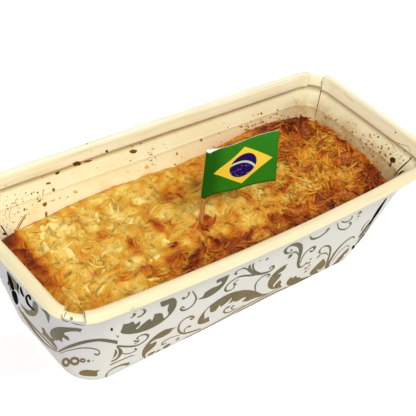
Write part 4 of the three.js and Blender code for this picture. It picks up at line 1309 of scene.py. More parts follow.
# Patches of the top that browned more, or less: place, reach along and across, strength
BROWN_PATCHES = [
    ((-47, 12), 3, 3, 0.2), ((-40, -2), 2.5, 5, 0.24), ((-60, -4), 2.5, 1.5, 0.16),
    ((-24, 3), 2, 6, 0.3), ((-4, 17), 5, 5, 0.2), ((-25, -9), 2.5, 1.5, 0.42),
    ((-10, -6), 8, 2.5, 0.24), ((-3, -2), 4, 1.5, 0.3), ((-38, -13), 8, 3, 0.22),
    ((-24, -16), 8, 4, 0.26), ((-12, -14), 7, 3, 0.26), ((-4, -16), 4, 4, 0.24),
    ((6, -18), 5, 2.5, 0.22), ((15, -18), 4, 2, 0.26), ((22, -8), 2, 1, 0.35),
    ((26, -17), 4, 4, 0.28), ((8, -9), 3, 2, 0.2), ((40, -4), 7, 3, 0.32),
    ((30, -10), 4, 2, 0.18), ((50, -2), 5, 2, 0.2), ((52, -17), 8, 3, 0.2),
    ((-52, -13), 4, 2, 0.2), ((-65, -10), 4, 3, 0.12), ((62, 14), 8, 5, 0.1),
    ((62, -10), 6, 4, -0.16), ((12, -21), 4, 2, -0.34), ((10, 0), 8, 4, -0.08),
    ((-55, 20), 12, 8, -0.07), ((20, -2), 7, 3, -0.06), ((45, 10), 7, 4, -0.08),
    ((-44, -9), 6, 3, -0.06), ((34, 2), 5, 3, -0.06),
]

# Terms of the browning: strength, then each factor as (along x, along y, from, to)
BROWNING = [
    (0.06, (1, 0, -30, 14)), (0.19, (1, 0, 40, 64)), (0.1, (1, 0, 68, 84)),
    (0.05, (0, -1, 10, 24)), (0.25, (0, -1, 10, 24), (1, 0, -56, -30)),
    (-0.14, (0, -1, 10, 24), (1, 0, 35, 70)),
    (0.1, (0, -1, 12, 20), (1, 0, -40, -28), (-1, 0, -16, 0)), (0.08, (0, -1, 23, 31)),
    (0.18, (0, 1, 16, 31), (1, 0, 6, 42)), (0.2, (0, 1, 30.5, 34), (-1, 0, -2, 12)),
    (-0.06, (0, 1, 28, 33), (1, 0, 4, 16)), (0.08, (-1, 0, 70, 78)),
    (0.44, (0, 1, -8, 20), (-1, 0, 70, 78)), (0.2, (-1, 1, 100, 109)),
    (0.08, (1, 0, 48, 70), (0, 1, 8, 24)),
]
LEAST_BROWNED = 0.27


def over_plan(plan, value_at):
    return np.array([[value_at(x, y) for x, y in column] for column in plan])


def browned_over(plan):
    """How browned the crust is at each place, from 0 pale to 1 nearly burnt."""
    x, y = plan[..., 0], plan[..., 1]
    total = LEAST_BROWNED + over_plan(plan, lambda x, y: 0.24 * wave(x, y, 4.2, 3.4, 2.3)
                                      + 0.2 * wave(x, y, 9, 7, 6.3))
    for strength, *factors in BROWNING:
        total += strength * math.prod(smoothstep(along * x + across * y, low, high)
                                      for along, across, low, high in factors)
    for (px, py), reach_x, reach_y, strength in BROWN_PATCHES:
        away = np.hypot((x - px) / reach_x, (y - py) / reach_y)
        total += strength * smoothstep(-away, -1.7, -0.4)
    return np.clip(total, 0.02, 0.86)


# Strips and flakes on the top: pixels of both ends, half width, bow, tone, browning
LAID_STRIPS = [
    ((42.7, 243.3), (51.2, 257.8), 1.1, 0.3, 0.0, -0.2),
    ((47, 254), (53.5, 263), 0.8, -0.4, 0.4, -0.04),
    ((64.9, 251.8), (78.5, 263.8), 1.3, 0.2, 0.0, -0.2),
    ((41.8, 228.8), (41.8, 240.7), 0.9, 0.2, 0.0, -0.2),
    ((81, 252.7), (89.6, 252.7), 0.9, 0.1, 0.0, -0.2),
    ((61.5, 289.4), (78.5, 305.6), 1.2, 0.4, 0.1, -0.16),
    ((123.8, 220.2), (134.9, 225.4), 0.8, 0.3, 0.6, 0.16),
    ((151, 193.8), (160.5, 199.8), 0.9, 0.6, 0.3, 0.02),
    ((70, 206.6), (75, 211.7), 0.8, 0.1, 0.0, -0.2),
    ((136.6, 280), (140.9, 273), 0.9, 0.3, 0.6, 0.12),
    ((87, 273), (98, 275.4), 0.9, 0.5, 0.5, 0.1), ((170, 247), (177.5, 247.5), 1.7, 0.3, 0.7, 0.16),
    ((66, 245), (91, 246), 3.2, 0.8, 0.6, 0.04), ((113, 231), (146, 233), 3.4, 0.8, 0.7, 0.08),
    ((128, 239), (137, 252), 1.6, 0.8, 0.5, 0.06), ((150, 219), (166, 232), 2.6, 0.6, 0.5, 0.06),
    ((45, 230), (66, 235), 2.2, 0.3, 0.0, -0.16), ((132, 205), (146, 202), 2.2, 0.4, 0.0, -0.18),
    ((94, 198), (112, 206), 3.2, 0.5, 0.3, -0.04), ((116, 272), (124, 262), 0.8, 0.3, 0.4, 0.06),
    ((84, 290), (90, 294), 0.7, 0.2, 0.0, -0.18), ((97, 297), (104, 290), 0.7, 0.2, 0.0, -0.18),
    ((146, 283), (160, 280), 0.7, 0.3, 0.1, -0.3), ((150, 262), (160, 256), 1.0, 0.3, 0.0, -0.42),
    ((24, 232), (34, 228), 0.7, 0.2, 0.0, -0.2), ((109, 205), (113, 213), 0.6, 0.1, 0.0, -0.2),
    ((205, 233), (214, 231), 0.6, 0.2, 0.1, -0.14), ((161, 242), (170, 243), 0.6, 0.2, 0.1, -0.16),
    ((95, 213), (99, 221), 0.7, 0.3, 0.0, -0.2), ((60, 266), (66, 275), 0.8, 0.3, 0.3, -0.1),
    ((112, 290), (116, 283), 0.7, 0.2, 0.2, -0.12), ((104, 262), (112, 270), 0.8, 0.4, 0.6, 0.04),
    ((176, 196), (184, 203), 0.7, 0.2, 0.6, 0.1), ((186, 200), (193, 206), 0.6, 0.3, 0.4, 0.0),
    ((190, 243), (201, 240), 1.6, 0.5, 0.8, 0.12), ((192, 262), (199, 255), 1.3, 0.4, 0.8, 0.1),
    ((176, 270), (184, 262), 0.8, 0.3, 0.5, -0.08), ((301, 182), (311, 189), 0.7, 0.4, 0.1, -0.2),
    ((294, 197), (300, 204), 0.8, 0.3, 0.1, -0.24), ((258, 205), (266, 209), 0.8, 0.3, 0.9, 0.2),
    ((321, 142), (331, 137), 0.9, 0.3, 0.3, -0.2), ((340, 166), (352, 172), 0.8, 0.6, 0.3, -0.2),
    ((345, 188), (357, 190), 0.8, 0.3, 0.2, -0.24), ((318, 190), (328, 197), 0.7, 0.5, 0.1, -0.2),
    ((333, 150), (341, 157), 0.8, 0.9, 0.3, -0.2), ((363, 158), (371, 163), 0.7, 0.8, 0.3, -0.22),
]


# Hollows between the lumps, each lowered and darkened with painted shade: middle pixel, reach along and
# across the cake, depth
HOLLOWS = [
    ((196, 187), 4.4, 5.0, 1.2), ((155, 196), 1.7, 1.4, 0.9), ((67.5, 277), 2.0, 0.7, 0.9),
    ((127.5, 294), 1.8, 0.8, 0.8), ((170, 270), 1.0, 2.4, 0.8), ((165, 196), 0.8, 2.2, 0.7),
    ((54, 246), 2.4, 1.6, 0.4), ((117, 249), 1.8, 0.8, 0.6), ((131, 262), 0.8, 1.6, 0.8),
    ((86, 252), 2.6, 0.7, 0.5), ((186, 262), 2.0, 0.8, 0.8), ((228, 222), 2.2, 0.8, 0.6),
]


def soft_lumps(x, y):
    """The soft lumps under the grated pieces."""
    lumps = abs(wave(x, y, 7.5, 6.0, 1.7)) * 2.3
    knobs = noise.noise(Vector((x / 3.1 + 9, y / 2.8, 5.1))) * 0.4
    return lumps + knobs - 0.75


def shred_share(x, y):
    """How much of the top is thin coconut shreds there, where the rest is broad flakes."""
    front = 0.42 * smoothstep(-y, 8, 20) * smoothstep(x, -60, -40)
    return np.minimum(1, 0.12 + 0.8 * smoothstep(x, 8, 52) + front)


def edge_place(x, height_at_edge):
    """Half the cake's width at x, where its edge stands at a height."""
    half_x, half_y, corner = wall_sizes(height_at_edge, -INSIDE)
    over = np.clip(np.abs(x) - (half_x - corner), 0, corner)
    return half_y - corner + np.sqrt(corner * corner - over * over)


def press_piece(plan, warp, made, centre, angle, half, rise, curve, tone, mark):
    """Presses one long piece into the relief, where it stands over what lies lower."""
    x, y = centre
    half_length, half_width = half
    level, lean, roll, dome = rise
    first, last = np.searchsorted(plan[:, 0, 0], (x - half_length - 2, x + half_length + 2))
    if last - first < 2:
        return
    away_x, away_y = np.moveaxis(plan[first:last] + warp[first:last] - (x, y), -1, 0)
    u = (away_x * math.cos(angle) + away_y * math.sin(angle)) / half_length
    v = (away_y * math.cos(angle) - away_x * math.sin(angle) - curve * u * u) / half_width
    body = 1 - u ** 4 - v ** 2
    top = level + lean * u * half_length + roll * v * half_width
    top = np.where(body > 0, top + dome * np.sqrt(np.maximum(body, 0)), -9)
    covers = top > made["relief"][first:last]
    made["relief"][first:last][covers] = top[covers]
    made["tone"][first:last][covers] = tone
    made["mark"][first:last][covers] = mark


def press_pieces(plan, warp, made, draw, count, choose, length, width, dome, tilt, bend):
    """Presses pieces of chance length, width and turn into the relief."""
    for _ in range(count):
        x, y = draw.uniform(-88, 91), draw.uniform(-36, 35)
        angle, half_length = draw.uniform(0, math.pi), draw.uniform(*length) / 2
        half_width, level = draw.uniform(*width) / 2, draw.gauss(0, 0.34)
        lean, roll = draw.gauss(0, tilt), draw.gauss(0, tilt * 1.4)
        curve, tone = draw.uniform(-bend, bend), draw.random()
        if draw.random() < choose(x, y):
            press_piece(plan, warp, made, (x, y), angle, (half_length, half_width),
                        (level, lean, roll, dome), curve, tone, 0.0)


def on_top(pixel):
    """The place on the cake's top that a pixel sees, by the top's usual height."""
    ray = photo_ray(pixel)
    height = CAKE_LEVEL
    for _ in range(4):
        place = CAMERA_PLACE + ray * ((height - CAMERA_PLACE.z) / ray.z)
        height = cake_level(place.x)
    return place


def lay_strips(plan, warp, made):
    """The strips and flakes that stand out in the photograph, each from end to end."""
    for first, last, half_width, curve, tone, mark in LAID_STRIPS:
        start, end = on_top(first), on_top(last)
        middle, run = (start + end) / 2, end - start
        press_piece(plan, warp, made, (middle.x, middle.y), math.atan2(run.y, run.x),
                    (run.length / 2, half_width), (1.3, 0, 0, 0.6), curve, tone, mark)


def blurred(field, times):
    for _ in range(times):
        padded = np.pad(field, 1, mode="edge")
        field = sum(padded[a:a + field.shape[0], b:b + field.shape[1]]
                    for a in range(3) for b in range(3)) / 9
    return field


def top_plan():
    """Where the top's points lie, in columns along the cake and rows from edge to edge."""
    ends = [way * wall_sizes(cake_level(way * CAKE_END) - END_DROP, -INSIDE)[0] for way in (-1, 1)]
    shares = np.linspace(0, 1, TOP_COLUMNS + 1)
    closer = np.sin((shares - 0.5) * math.pi) * 0.5 + 0.5
    x = lerp(*ends, lerp(shares, closer, 0.2))[:, None]
    level = cake_level(x) - EDGE_DROP
    y = np.linspace(-1, 1, TOP_ROWS + 1) * edge_place(x, level)
    y = y - front_bow(x, y, level)
    return np.stack([np.broadcast_to(x, y.shape), y], -1)


def model_top(plan):
    """The height of the model's top at each place."""
    model = surface_tree(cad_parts["cake"])

    def height_at(x, y):
        start = Vector((x * MODEL_SHARE[0], y * MODEL_SHARE[1], MODEL_FROM))
        hit, usual = model.ray_cast(start, Vector((0, 0, -1)))[0], cake_level(x)
        return hit.z if hit is not None and hit.z > usual - MODEL_DEEPEST else usual - MODEL_MISSED
    return over_plan(plan, height_at)


def press_all(plan, ragged):
    """The relief, tone and browning mark of broad flakes, flake strands, shreds and strips.

    Each kind has its outline's roughness, its number, where it lies, its lengths and widths,
    and how much it is domed, tilted and bent.
    """
    draw = random.Random(23)
    made = {name: np.full(plan.shape[:2], value)
            for name, value in (("relief", -0.5), ("tone", 0.4), ("mark", 0.0))}
    for roughness, count, choose, length, width, dome, tilt, bend in (
            (1, 520, lambda x, y: 1 - shred_share(x, y), (7, 15), (4, 9), 0.8, 0.08, 1.5),
            (0.22, 2300, lambda x, y: 1 - shred_share(x, y), (5, 12), (0.8, 1.5), 0.5, 0.06, 1.6),
            (0.15, 3400, shred_share, (5, 12), (0.9, 1.7), 0.5, 0.06, 2.2)):
        press_pieces(plan, ragged * roughness, made, draw, count, choose, length, width, dome,
                     tilt, bend)
    lay_strips(plan, ragged * 0.2, made)
    return made["relief"], made["tone"], made["mark"]


def lift_edges(plan, height):
    """Raises the back and the right edge of the top to the heights they have in the photograph."""
    xs, rows = plan[:, 0, 0], np.linspace(-1, 1, TOP_ROWS + 1)
    back_lift = np.interp(xs, *zip(*BACK_EDGE)) - blurred(height, 22)[:, -1]
    height += back_lift[:, None] * smoothstep(rows, 1 - EDGE_FALL / 34, 1)
    right_lift = np.interp(plan[-1, :, 1], *zip(*RIGHT_EDGE)) - blurred(height, 20)[-1]
    height += right_lift * smoothstep(xs, xs[-1] - EDGE_FALL, xs[-1])[:, None]


def hollow_depths(plan, ragged):
    bowls = np.zeros(plan.shape[:2])
    for pixel, reach_x, reach_y, depth in HOLLOWS:
        middle = on_top(pixel)
        away = (plan + ragged * 0.4 - middle[:2]) / (reach_x, reach_y)
        bowls += depth * smoothstep(-np.hypot(away[..., 0], away[..., 1]), -1.5, -0.1)
    return bowls


def make_cake():
    """The cake's body: its top follows the model's, with finer relief, and its sides the case."""
    plan = top_plan()
    rough = model_top(plan)
    shreds = shred_share(plan[..., 0], plan[..., 1])
    ragged = np.stack([over_plan(plan, lambda x, y: wave(x, y, 2.1, 1.9, z) * 1.5
                                 + wave(x, y, 0.8, 0.8, z) * 0.5) for z in (3.1, 8.7)], -1)
    relief, tones, mark = press_all(plan, ragged)
    relief = lerp(relief, blurred(relief, 1), np.where(shreds > 0.5, 0.3, 0.4))
    calm = (mark == 0) * (1 - smoothstep(shreds, 0.3, 0.7))
    tones = lerp(tones, 0.25 + 0.5 * tones, calm)

    xs, rows = plan[:, 0, 0], np.linspace(-1, 1, TOP_ROWS + 1)
    to_end = np.minimum(xs - xs[0], xs[-1] - xs)[:, None]
    near_edge = np.minimum((1 - np.abs(rows)) * HALF_WIDTH, to_end)
    inward = EDGE_RELIEF + (1 - EDGE_RELIEF) * smoothstep(near_edge, 0, EDGE_BAND)
    grain = over_plan(plan, lambda x, y: wave(x, y, 0.9, 0.9, 7.9)) * GRAIN_HEIGHT
    crumbs = over_plan(plan, lambda x, y: wave(x, y, 1.5, 1.3, 4.4))
    grain -= smoothstep(-crumbs, 0.3, 0.5) * (1 - shreds) * (mark == 0) * PIT_DEPTH
    height = blurred(rough, CAD_SMOOTHING) + (over_plan(plan, soft_lumps) + relief + grain) * inward
    lift_edges(plan, height)
    bowls = hollow_depths(plan, ragged)
    height -= bowls

    # Painted shade: places lower than their surroundings are darkened, the hollows most of all.
    shelter = np.clip((blurred(height, PAINTED_SHADE_BLUR) - height - PAINTED_SHADE_FROM) / PAINTED_SHADE_SPAN, 0, 1)
    shelter *= 0.6 + 0.4 * smoothstep(shreds, 0.2, 0.6)
    shelter = np.minimum(1, shelter + 0.6 * bowls)
    peaks = np.clip((height - blurred(height, PEAK_BLUR)) / PEAK_SPAN, -1, 1)
    browned = browned_over(plan)
    browned += (np.where(mark > 0, mark * 0.35, mark)
                + peaks * (0.07 + 0.17 * smoothstep(browned, 0.2, 0.55)))
    browned = list(np.clip(browned, 0.02, 1).ravel())

    wide = TOP_ROWS + 1
    points = [Vector(p) for p in np.dstack([plan, height]).reshape(-1, 3)]
    faces = [(i * wide + j, (i + 1) * wide + j, (i + 1) * wide + j + 1, i * wide + j + 1)
             for i in range(TOP_COLUMNS) for j in range(TOP_ROWS)]
    top_count = len(points)
    rim = [i * wide for i in range(TOP_COLUMNS)]
    rim += range(TOP_COLUMNS * wide, TOP_COLUMNS * wide + TOP_ROWS)
    rim += [i * wide + TOP_ROWS for i in range(TOP_COLUMNS, 0, -1)]
    rim += range(TOP_ROWS, 0, -1)
    above = rim
    for depth in SIDE_STEPS:
        ring = ring_numbers(len(points), 0, len(rim))
        for k in rim:
            x, y, top = points[k]
            z = lerp(top, BOARD + GAP, depth)
            old, new = wall_sizes(top, -INSIDE), wall_sizes(z, -INSIDE - SIDE_LEAN * depth)
            points.append(Vector((x * new[0] / old[0], y * new[1] / old[1], z)))
            browned.append(min(1, browned[k] + SIDE_BROWNED))
        faces += flipped(band(above, ring))
        above = ring
    faces.append(tuple(reversed(above)))
    # The cake's sides get a middling tone and a fixed painted shade, both 0.4.
    on_side = [0.4] * (len(points) - top_count)
    body = mesh_object("cake_body", points, faces, [crust_body])
    keep_inside_case(body.data, BOARD / 2 + 0.1)
    point_attributes(body.data, browned=browned, shelter=[*shelter.ravel(), *on_side],
                     tone=[*tones.ravel(), *on_side])
    return body, top_count


def keep_inside_case(mesh, clear):
    """Moves what pokes out through the case's walls back to just inside them."""
    flat = np.empty(len(mesh.vertices) * 3)
    mesh.vertices.foreach_get("co", flat)
    x, y, z = (flat.reshape(-1, 3) / MM).T
    half_x, half_y, corner = wall_sizes(z, -clear)
    bow = front_bow(x, y, z, -clear)
    straight = np.array([half_x - corner, half_y - corner])
    over = np.abs([x, y + bow]) - straight
    both = (over > 0).all(axis=0)
    pull = np.minimum(1, corner / np.maximum(np.hypot(*over), 1e-6))
    kept = np.where(both, over * pull, np.minimum(over, corner)) + straight
    moved = np.stack([np.sign(x) * kept[0], np.sign(y + bow) * kept[1] - bow, z], 1)
    mesh.vertices.foreach_set("co", (moved * MM).ravel())
    mesh.update()


cake_body, cake_top_count = make_cake()


# Coconut and cassava pieces scattered over the top by Geometry Nodes

def shred_mesh(name, length, width, thick, bend, lift, twist):
    """One grated shred: a flat strip bent sideways, tapered, with lifted ends."""
    steps = 6
    points = []
    for t in np.linspace(-1, 1, steps + 1):
        half = width / 2 * (0.35 + 0.65 * math.sqrt(max(0.0, 1 - t ** 4)))
        roll = twist * t
        centre = Vector((t * length / 2, bend * t * t, lift * abs(t) ** 2.2))
        across = Vector((0, math.cos(roll), math.sin(roll)))
        over = Vector((0, -math.sin(roll), math.cos(roll)))
        for u, v in ((-1, -1), (1, -1), (0.7, 1), (-0.7, 1)):
            points.append(centre + across * (u * half) + over * (v * thick / 2))
    faces = flipped(tube(0, steps + 1, 4))
    faces += [(0, 1, 2, 3), tuple(range(4 * steps + 3, 4 * steps - 1, -1))]
    return mesh_object(name, points, faces, [crust_shred])


def flake_mesh(name, length, width, thick, curl, ragged, draw):
    """One cassava or coconut flake: a thin leaf, curled along and across, with a ragged edge."""
    around = 10
    outline = [draw.uniform(1 - ragged, 1 + ragged) for _ in range(around)]

    def ring(share, side):
        made = []
        for reach, angle in zip(outline, turns(around)):
            x = length / 2 * share * reach * math.cos(angle)
            y = width / 2 * share * reach * math.sin(angle)
            z = curl * (1 - (2 * x / length) ** 2 - 0.6 * (2 * y / width) ** 2)
            made.append(Vector((x, y, z + side * thick / 2 * (1 - 0.55 * share ** 3))))
        return made

    points = [Vector((0, 0, thick / 2 + curl)), *ring(0.5, 1), *ring(1, 1), *ring(1, -1),
              Vector((0, 0, curl - thick / 2))]
    inner, outer, foot = (ring_numbers(1, row, around) for row in range(3))
    sides = [*band(inner, outer), *band(outer, foot), *fan(len(points) - 1, foot)]
    faces = [*fan(0, inner), *flipped(sides)]
    return mesh_object(name, points, faces, [crust_flake])


def scatter_tree():
    """A tree that scatters a collection's pieces over a surface, turned and scaled at random."""
    tree, given, out = new_group("scatter_on_crust", [
        ("Surface", "Geometry", None), ("Pieces", "Collection", None),
        ("Spacing", "Float", 0.001), ("Density", "Float", 1e5),
        ("Density Name", "String", "shred_cover"), ("Smallest", "Float", 0.7),
        ("Largest", "Float", 1.2), ("Tilt", "Float", 0.3), ("Lift", "Float", 0.0),
        ("Seed", "Int", 1), ("Finish", "Material", None)], [("Scattered", "Geometry")],
        "GeometryNodeTree")

    def chance(kind, low, high, seed):
        keys = ("Min", "Max") if kind == "FLOAT_VECTOR" else (2, 3)
        return add_node(tree, "FunctionNodeRandomValue", {keys[0]: low, keys[1]: high, "Seed": seed},
                        data_type=kind).outputs[0 if kind == "FLOAT_VECTOR" else 1]

    cover = add_node(tree, "GeometryNodeInputNamedAttribute", {"Name": given["Density Name"]},
                     data_type="FLOAT").outputs["Attribute"]
    spread = add_node(tree, "GeometryNodeDistributePointsOnFaces", {
        "Mesh": given["Surface"], "Distance Min": given["Spacing"],
        "Density Max": given["Density"], "Density Factor": cover, "Seed": given["Seed"]},
        distribute_method="POISSON")
    pieces = add_node(tree, "GeometryNodeCollectionInfo", {
        "Collection": given["Pieces"], "Separate Children": True, "Reset Children": True})
    tilt, back = given["Tilt"], given["Tilt"] * -1.0
    spin = chance("FLOAT_VECTOR", vector_of(tree, back, back),
                  vector_of(tree, tilt, tilt, 2 * math.pi), given["Seed"])
    turned = add_node(tree, "FunctionNodeRotateRotation", {
        "Rotation": spread.outputs["Rotation"],
        "Rotate By": add_node(tree, "FunctionNodeEulerToRotation", {0: spin}).outputs[0]},
        rotation_space="LOCAL").outputs[0]
    placed = add_node(tree, "GeometryNodeInstanceOnPoints", {
        "Points": spread.outputs["Points"], "Instance": pieces.outputs[0], "Pick Instance": True,
        "Rotation": turned, "Scale": chance("FLOAT", given["Smallest"], given["Largest"], 3)})
    toned = add_node(tree, "GeometryNodeStoreNamedAttribute", {
        "Geometry": placed.outputs[0], "Name": "tone", "Value": chance("FLOAT", 0.0, 1.0, 8)},
        data_type="FLOAT", domain="INSTANCE")
    raised = add_node(tree, "GeometryNodeTranslateInstances", {
        "Instances": toned.outputs[0], "Translation": vector_of(tree, z=given["Lift"]),
        "Local Space": True})
    real = add_node(tree, "GeometryNodeRealizeInstances", {0: raised.outputs[0]})
    finished = add_node(tree, "GeometryNodeSetMaterial", {
        "Geometry": real.outputs[0], "Material": given["Finish"]})
    feed(out, {0: finished.outputs[0]})
    return tree


def set_tree_input(modifier, name, value):
    for item in modifier.node_group.interface.items_tree:
        if item.item_type == "SOCKET" and item.in_out == "INPUT" and item.name == name:
            modifier[item.identifier] = value


def scattered(name, surface, pieces, tree, **values):
    """The plain mesh that the tree makes on a surface from a set of pieces."""
    collection = bpy.data.collections.new(name + "_pieces")
    bpy.context.scene.collection.children.link(collection)
    for piece in pieces:
        bpy.context.scene.collection.objects.unlink(piece)
        collection.objects.link(piece)
    carrier = linked(name + "_carrier", surface)
    modifier = carrier.modifiers.new("scatter", "NODES")
    modifier.node_group = tree
    for key, value in {"Pieces": collection, **values}.items():
        set_tree_input(modifier, key.replace("_", " "), value)
    bpy.context.view_layer.update()
    depsgraph = bpy.context.evaluated_depsgraph_get()
    mesh = bpy.data.meshes.new_from_object(carrier.evaluated_get(depsgraph),
                                           preserve_all_data_layers=True, depsgraph=depsgraph)
    carrier.modifiers.remove(modifier)
    for used in (carrier, *pieces):
        bpy.data.objects.remove(used)
    bpy.data.collections.remove(collection)
    mesh.name = name
    keep_inside_case(mesh, BOARD / 2 + 0.12)
    mesh.polygons.foreach_set("use_smooth", [True] * len(mesh.polygons))
    return linked(name, mesh)


def wall_gap(x, y, height):
    """How far a place is from the case's wall at its height."""
    half_x, half_y, corner = wall_sizes(height, 0)
    y += front_bow(x, y, height)
    over_x, over_y = abs(x) - (half_x - corner), abs(y) - (half_y - corner)
    if over_x > 0 and over_y > 0:
        return corner - math.hypot(over_x, over_y)
    return min(half_x - abs(x), half_y - abs(y))


def make_top_surface():
    """The cake's top alone, with how much of it each kind of piece covers."""
    mesh = cake_body.data.copy()
    rework(mesh, lambda work: bmesh.ops.delete(work, geom=work.verts[cake_top_count:],
                                               context="VERTS"))
    shred_cover, flake_cover = [], []
    for vertex in mesh.vertices:
        x, y, z = (c / MM for c in vertex.co)
        clear = float(smoothstep(math.dist((x, y), PICK_IN_CAKE), 1.5, 5)
                      * smoothstep(vertex.normal.z, 0.5, 0.8)
                      * smoothstep(wall_gap(x, y, z), 3, 6))
        shreds = float(shred_share(x, y))
        shred_cover.append(clear * max(0.12, shreds - 0.1))
        flake_cover.append(clear * (1 - shreds))
    point_attributes(mesh, shred_cover=shred_cover, flake_cover=flake_cover)
    return mesh


top_surface = make_top_surface()
scatter = scatter_tree()
draw = random.Random(19)

shred_kinds = [shred_mesh(f"shred_{k}", *(draw.uniform(*limits) for limits in (
    (5, 10.5), (0.7, 1.2), (0.35, 0.5), (-2.2, 2.2), (-0.6, 0.7), (-0.6, 0.6)))) for k in range(12)]
coconut_shreds = scattered("coconut_shreds", top_surface, shred_kinds, scatter,
                           Spacing=0.0012, Density=230000.0, Density_Name="shred_cover",
                           Smallest=0.65, Largest=1.3, Tilt=0.09, Lift=0.0, Seed=5,
                           Finish=crust_shred)

flake_kinds = [flake_mesh(f"flake_{k}", *[draw.uniform(*limits) for limits in (
    (4, 8), (1.3, 2.6), (0.5, 0.8), (-0.2, 0.3))], 0.2, draw) for k in range(10)]
cassava_flakes = scattered("cassava_flakes", top_surface, flake_kinds, scatter,
                           Spacing=0.0022, Density=30000.0, Density_Name="flake_cover",
                           Smallest=0.6, Largest=1.1, Tilt=0.12, Lift=-0.0001, Seed=11,
                           Finish=crust_flake)


# Pick and flag

def make_pick():
    """A round pick that tapers a little to its point."""
    top = FLAG_FOOT + PICK_LEAN * (FLAG_HOIST - FLAG_TOP_CLOSED - PICK_CLEAR)
    side = PICK_LEAN.orthogonal().normalized()
    other = PICK_LEAN.cross(side)
    points = []
    for along, radius in PICK_PROFILE:
        for a in turns(PICK_AROUND):
            fibre = radius * (1 + 0.02 * math.sin(5 * a + along * 0.3))
            points.append(top + PICK_LEAN * along
                          + (side * math.cos(a) + other * math.sin(a)) * fibre)
    faces = tube(0, len(PICK_PROFILE), PICK_AROUND)
    faces.append(tuple(reversed(range(PICK_AROUND))))
    faces.append(tuple(ring_numbers(0, len(PICK_PROFILE) - 1, PICK_AROUND)))
    return mesh_object("wooden_pick", points, faces, [pick_wood])


def flag_outline():
    """The sheet's outside seen down the pick, with its distance along the print."""
    sleeve, half = FLAG_SLEEVE_RADIUS, FLAG_PAPER / 2
    foot = sleeve * math.cos(FLAG_JOINT)
    swell = sleeve * math.sin(FLAG_JOINT) - half
    flank = [(x, half + swell * (1 - float(smoothstep(x, foot + FLAG_SWELL[0], FLAG_SWELL[1]))), x)
             for x in (lerp(FLAG_FLY, foot, i / FLAG_COLUMNS) for i in range(FLAG_COLUMNS + 1))]
    wrap = [lerp(FLAG_JOINT, 2 * math.pi - FLAG_JOINT, k / FLAG_WRAP) for k in range(1, FLAG_WRAP)]
    return [*flank, *((sleeve * math.cos(a), sleeve * math.sin(a), sleeve * math.cos(a)) for a in wrap),
            *((x, -y, along) for x, y, along in reversed(flank))]


def make_flag():
    """A printed strip folded round the pick, its two halves glued into one waving sheet."""
    fly = Vector((math.cos(FLAG_YAW), math.sin(FLAG_YAW), 0))
    fly = (fly - PICK_LEAN * fly.dot(PICK_LEAN)).normalized()
    face_way = PICK_LEAN.cross(fly)
    points, uvs = [], []

    def place(x, y, high, along):
        free = float(smoothstep(x, FLAG_SLEEVE_RADIUS, FLAG_FLY / 2))
        turn = 2 * math.pi * (x - FLAG_SLEEVE_RADIUS) / FLAG_WAVE_LENGTH
        twist = FLAG_TWIST * free * (high - FLAG_HOIST / 2) * x / FLAG_FLY
        points.append(FLAG_FOOT + fly * x + PICK_LEAN * high
                      + face_way * (y + twist - FLAG_WAVE * free * math.sin(turn)))
        uvs.append((along, high))

    outline = flag_outline()
    for r in range(FLAG_ROWS + 1):
        for x, y, along in outline:
            place(x, y, FLAG_HOIST * r / FLAG_ROWS, along)
    count, bore = len(outline), len(points)
    radius = FLAG_SLEEVE_RADIUS - FLAG_BORE_GAP
    for high in (0, FLAG_HOIST - FLAG_TOP_CLOSED):
        for a in turns(FLAG_BORE):
            place(radius * math.cos(a), radius * math.sin(a), high, 0)
    faces = tube(0, FLAG_ROWS + 1, count) + flipped(tube(bore, 2, FLAG_BORE))
    faces.append(tuple(ring_numbers(bore, 1, FLAG_BORE)))
    piece = mesh_object("paper_flag", points, faces, [flag_print, plain_paper])

    def close_ends(work):
        """Fills the foot, round the bore, and the top, as unprinted paper."""
        at_foot = {*work.verts[:count], *work.verts[bore:bore + FLAG_BORE]}
        for foot in (True, False):
            edges = [e for e in work.edges if e.is_boundary and (e.verts[0] in at_foot) == foot]
            for made in bmesh.ops.triangle_fill(work, edges=edges, use_beauty=True)["geom"]:
                if isinstance(made, bmesh.types.BMFace):
                    made.material_index = 1
        face_outwards(work)

    rework(piece.data, close_ends)
    layer = piece.data.uv_layers.new(name="sheet")
    for loop in piece.data.loops:
        layer.data[loop.index].uv = uvs[loop.vertex_index]
    return piece


for piece in (cake_body, coconut_shreds, cassava_flakes):
    for vertex in piece.data.vertices:
        vertex.co = folded(vertex.co / MM) * MM
    piece.data.update()
wooden_pick = make_pick()
paper_flag = make_flag()


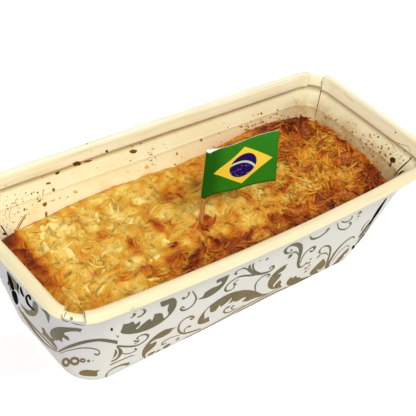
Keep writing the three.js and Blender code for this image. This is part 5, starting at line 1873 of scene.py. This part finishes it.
# Each piece goes under the root body, and the model's parts for the case, cake, pick and flag are
# hidden

for piece, node, slot in ((paper_case, "paper_case", "case_paper"), (cake_body, "cake", "cake_crust"),
                          (wooden_pick, "flag_stick", "pick_wood"), (paper_flag, "flag", "flag_paper")):
    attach(piece, "root")
    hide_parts(node)
for piece, slot in ((scroll_print, "case_paper"), (baked_splashes, "cake_crust"),
                    (coconut_shreds, "cake_crust"), (cassava_flakes, "cake_crust")):
    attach(piece, "root")
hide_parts("cake")
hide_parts("cake")


# Floor, lights and camera

def make_floor():
    """A pale sheet that lies flat under the case and sweeps up far behind it."""
    reach, rise, bend = 900, 700, 400
    profile = [(-reach, 0), (300, 0)]
    profile += [(300 + bend * math.sin(a), bend - bend * math.cos(a))
                for a in np.linspace(0.1, math.pi / 2, 12)]
    profile.append((300 + bend, bend + rise))
    turn = Matrix.Rotation(-CAMERA_AZIMUTH, 3, "Z")
    points = [turn @ Vector((x * 1.6, y, z)) for y, z in profile for x in (-reach, reach)]
    faces = [(2 * i, 2 * i + 1, 2 * i + 3, 2 * i + 2) for i in range(len(profile) - 1)]
    floor = mesh_object("pale_floor", points, faces, [make_floor_finish()])


def area_light(name, place, size, power, color=(1, 1, 1)):
    data = bpy.data.lights.new(name, "AREA")
    data.shape = "DISK"
    data.size = size
    data.energy = power
    data.color = color
    light = bpy.data.objects.new(name, data)
    light.location = place
    aim = Vector((0, 0, 0.03)) - Vector(place)
    light.rotation_mode = "QUATERNION"
    light.rotation_quaternion = aim.to_track_quat("-Z", "Y")
    bpy.context.scene.collection.objects.link(light)


make_floor()
area_light("key_light", (0.15, -0.5, 0.95), 0.3, 3.7)
area_light("fill_light", (-0.5, -0.47, 0.62), 0.35, 4.4)
world = bpy.data.worlds.new("soft_studio")
world.use_nodes = True
world.node_tree.nodes["Background"].inputs[0].default_value = (1, 1, 1, 1)
world.node_tree.nodes["Background"].inputs[1].default_value = 0.32
bpy.context.scene.world = world
bpy.context.scene.view_settings.view_transform = "Standard"
make_camera()
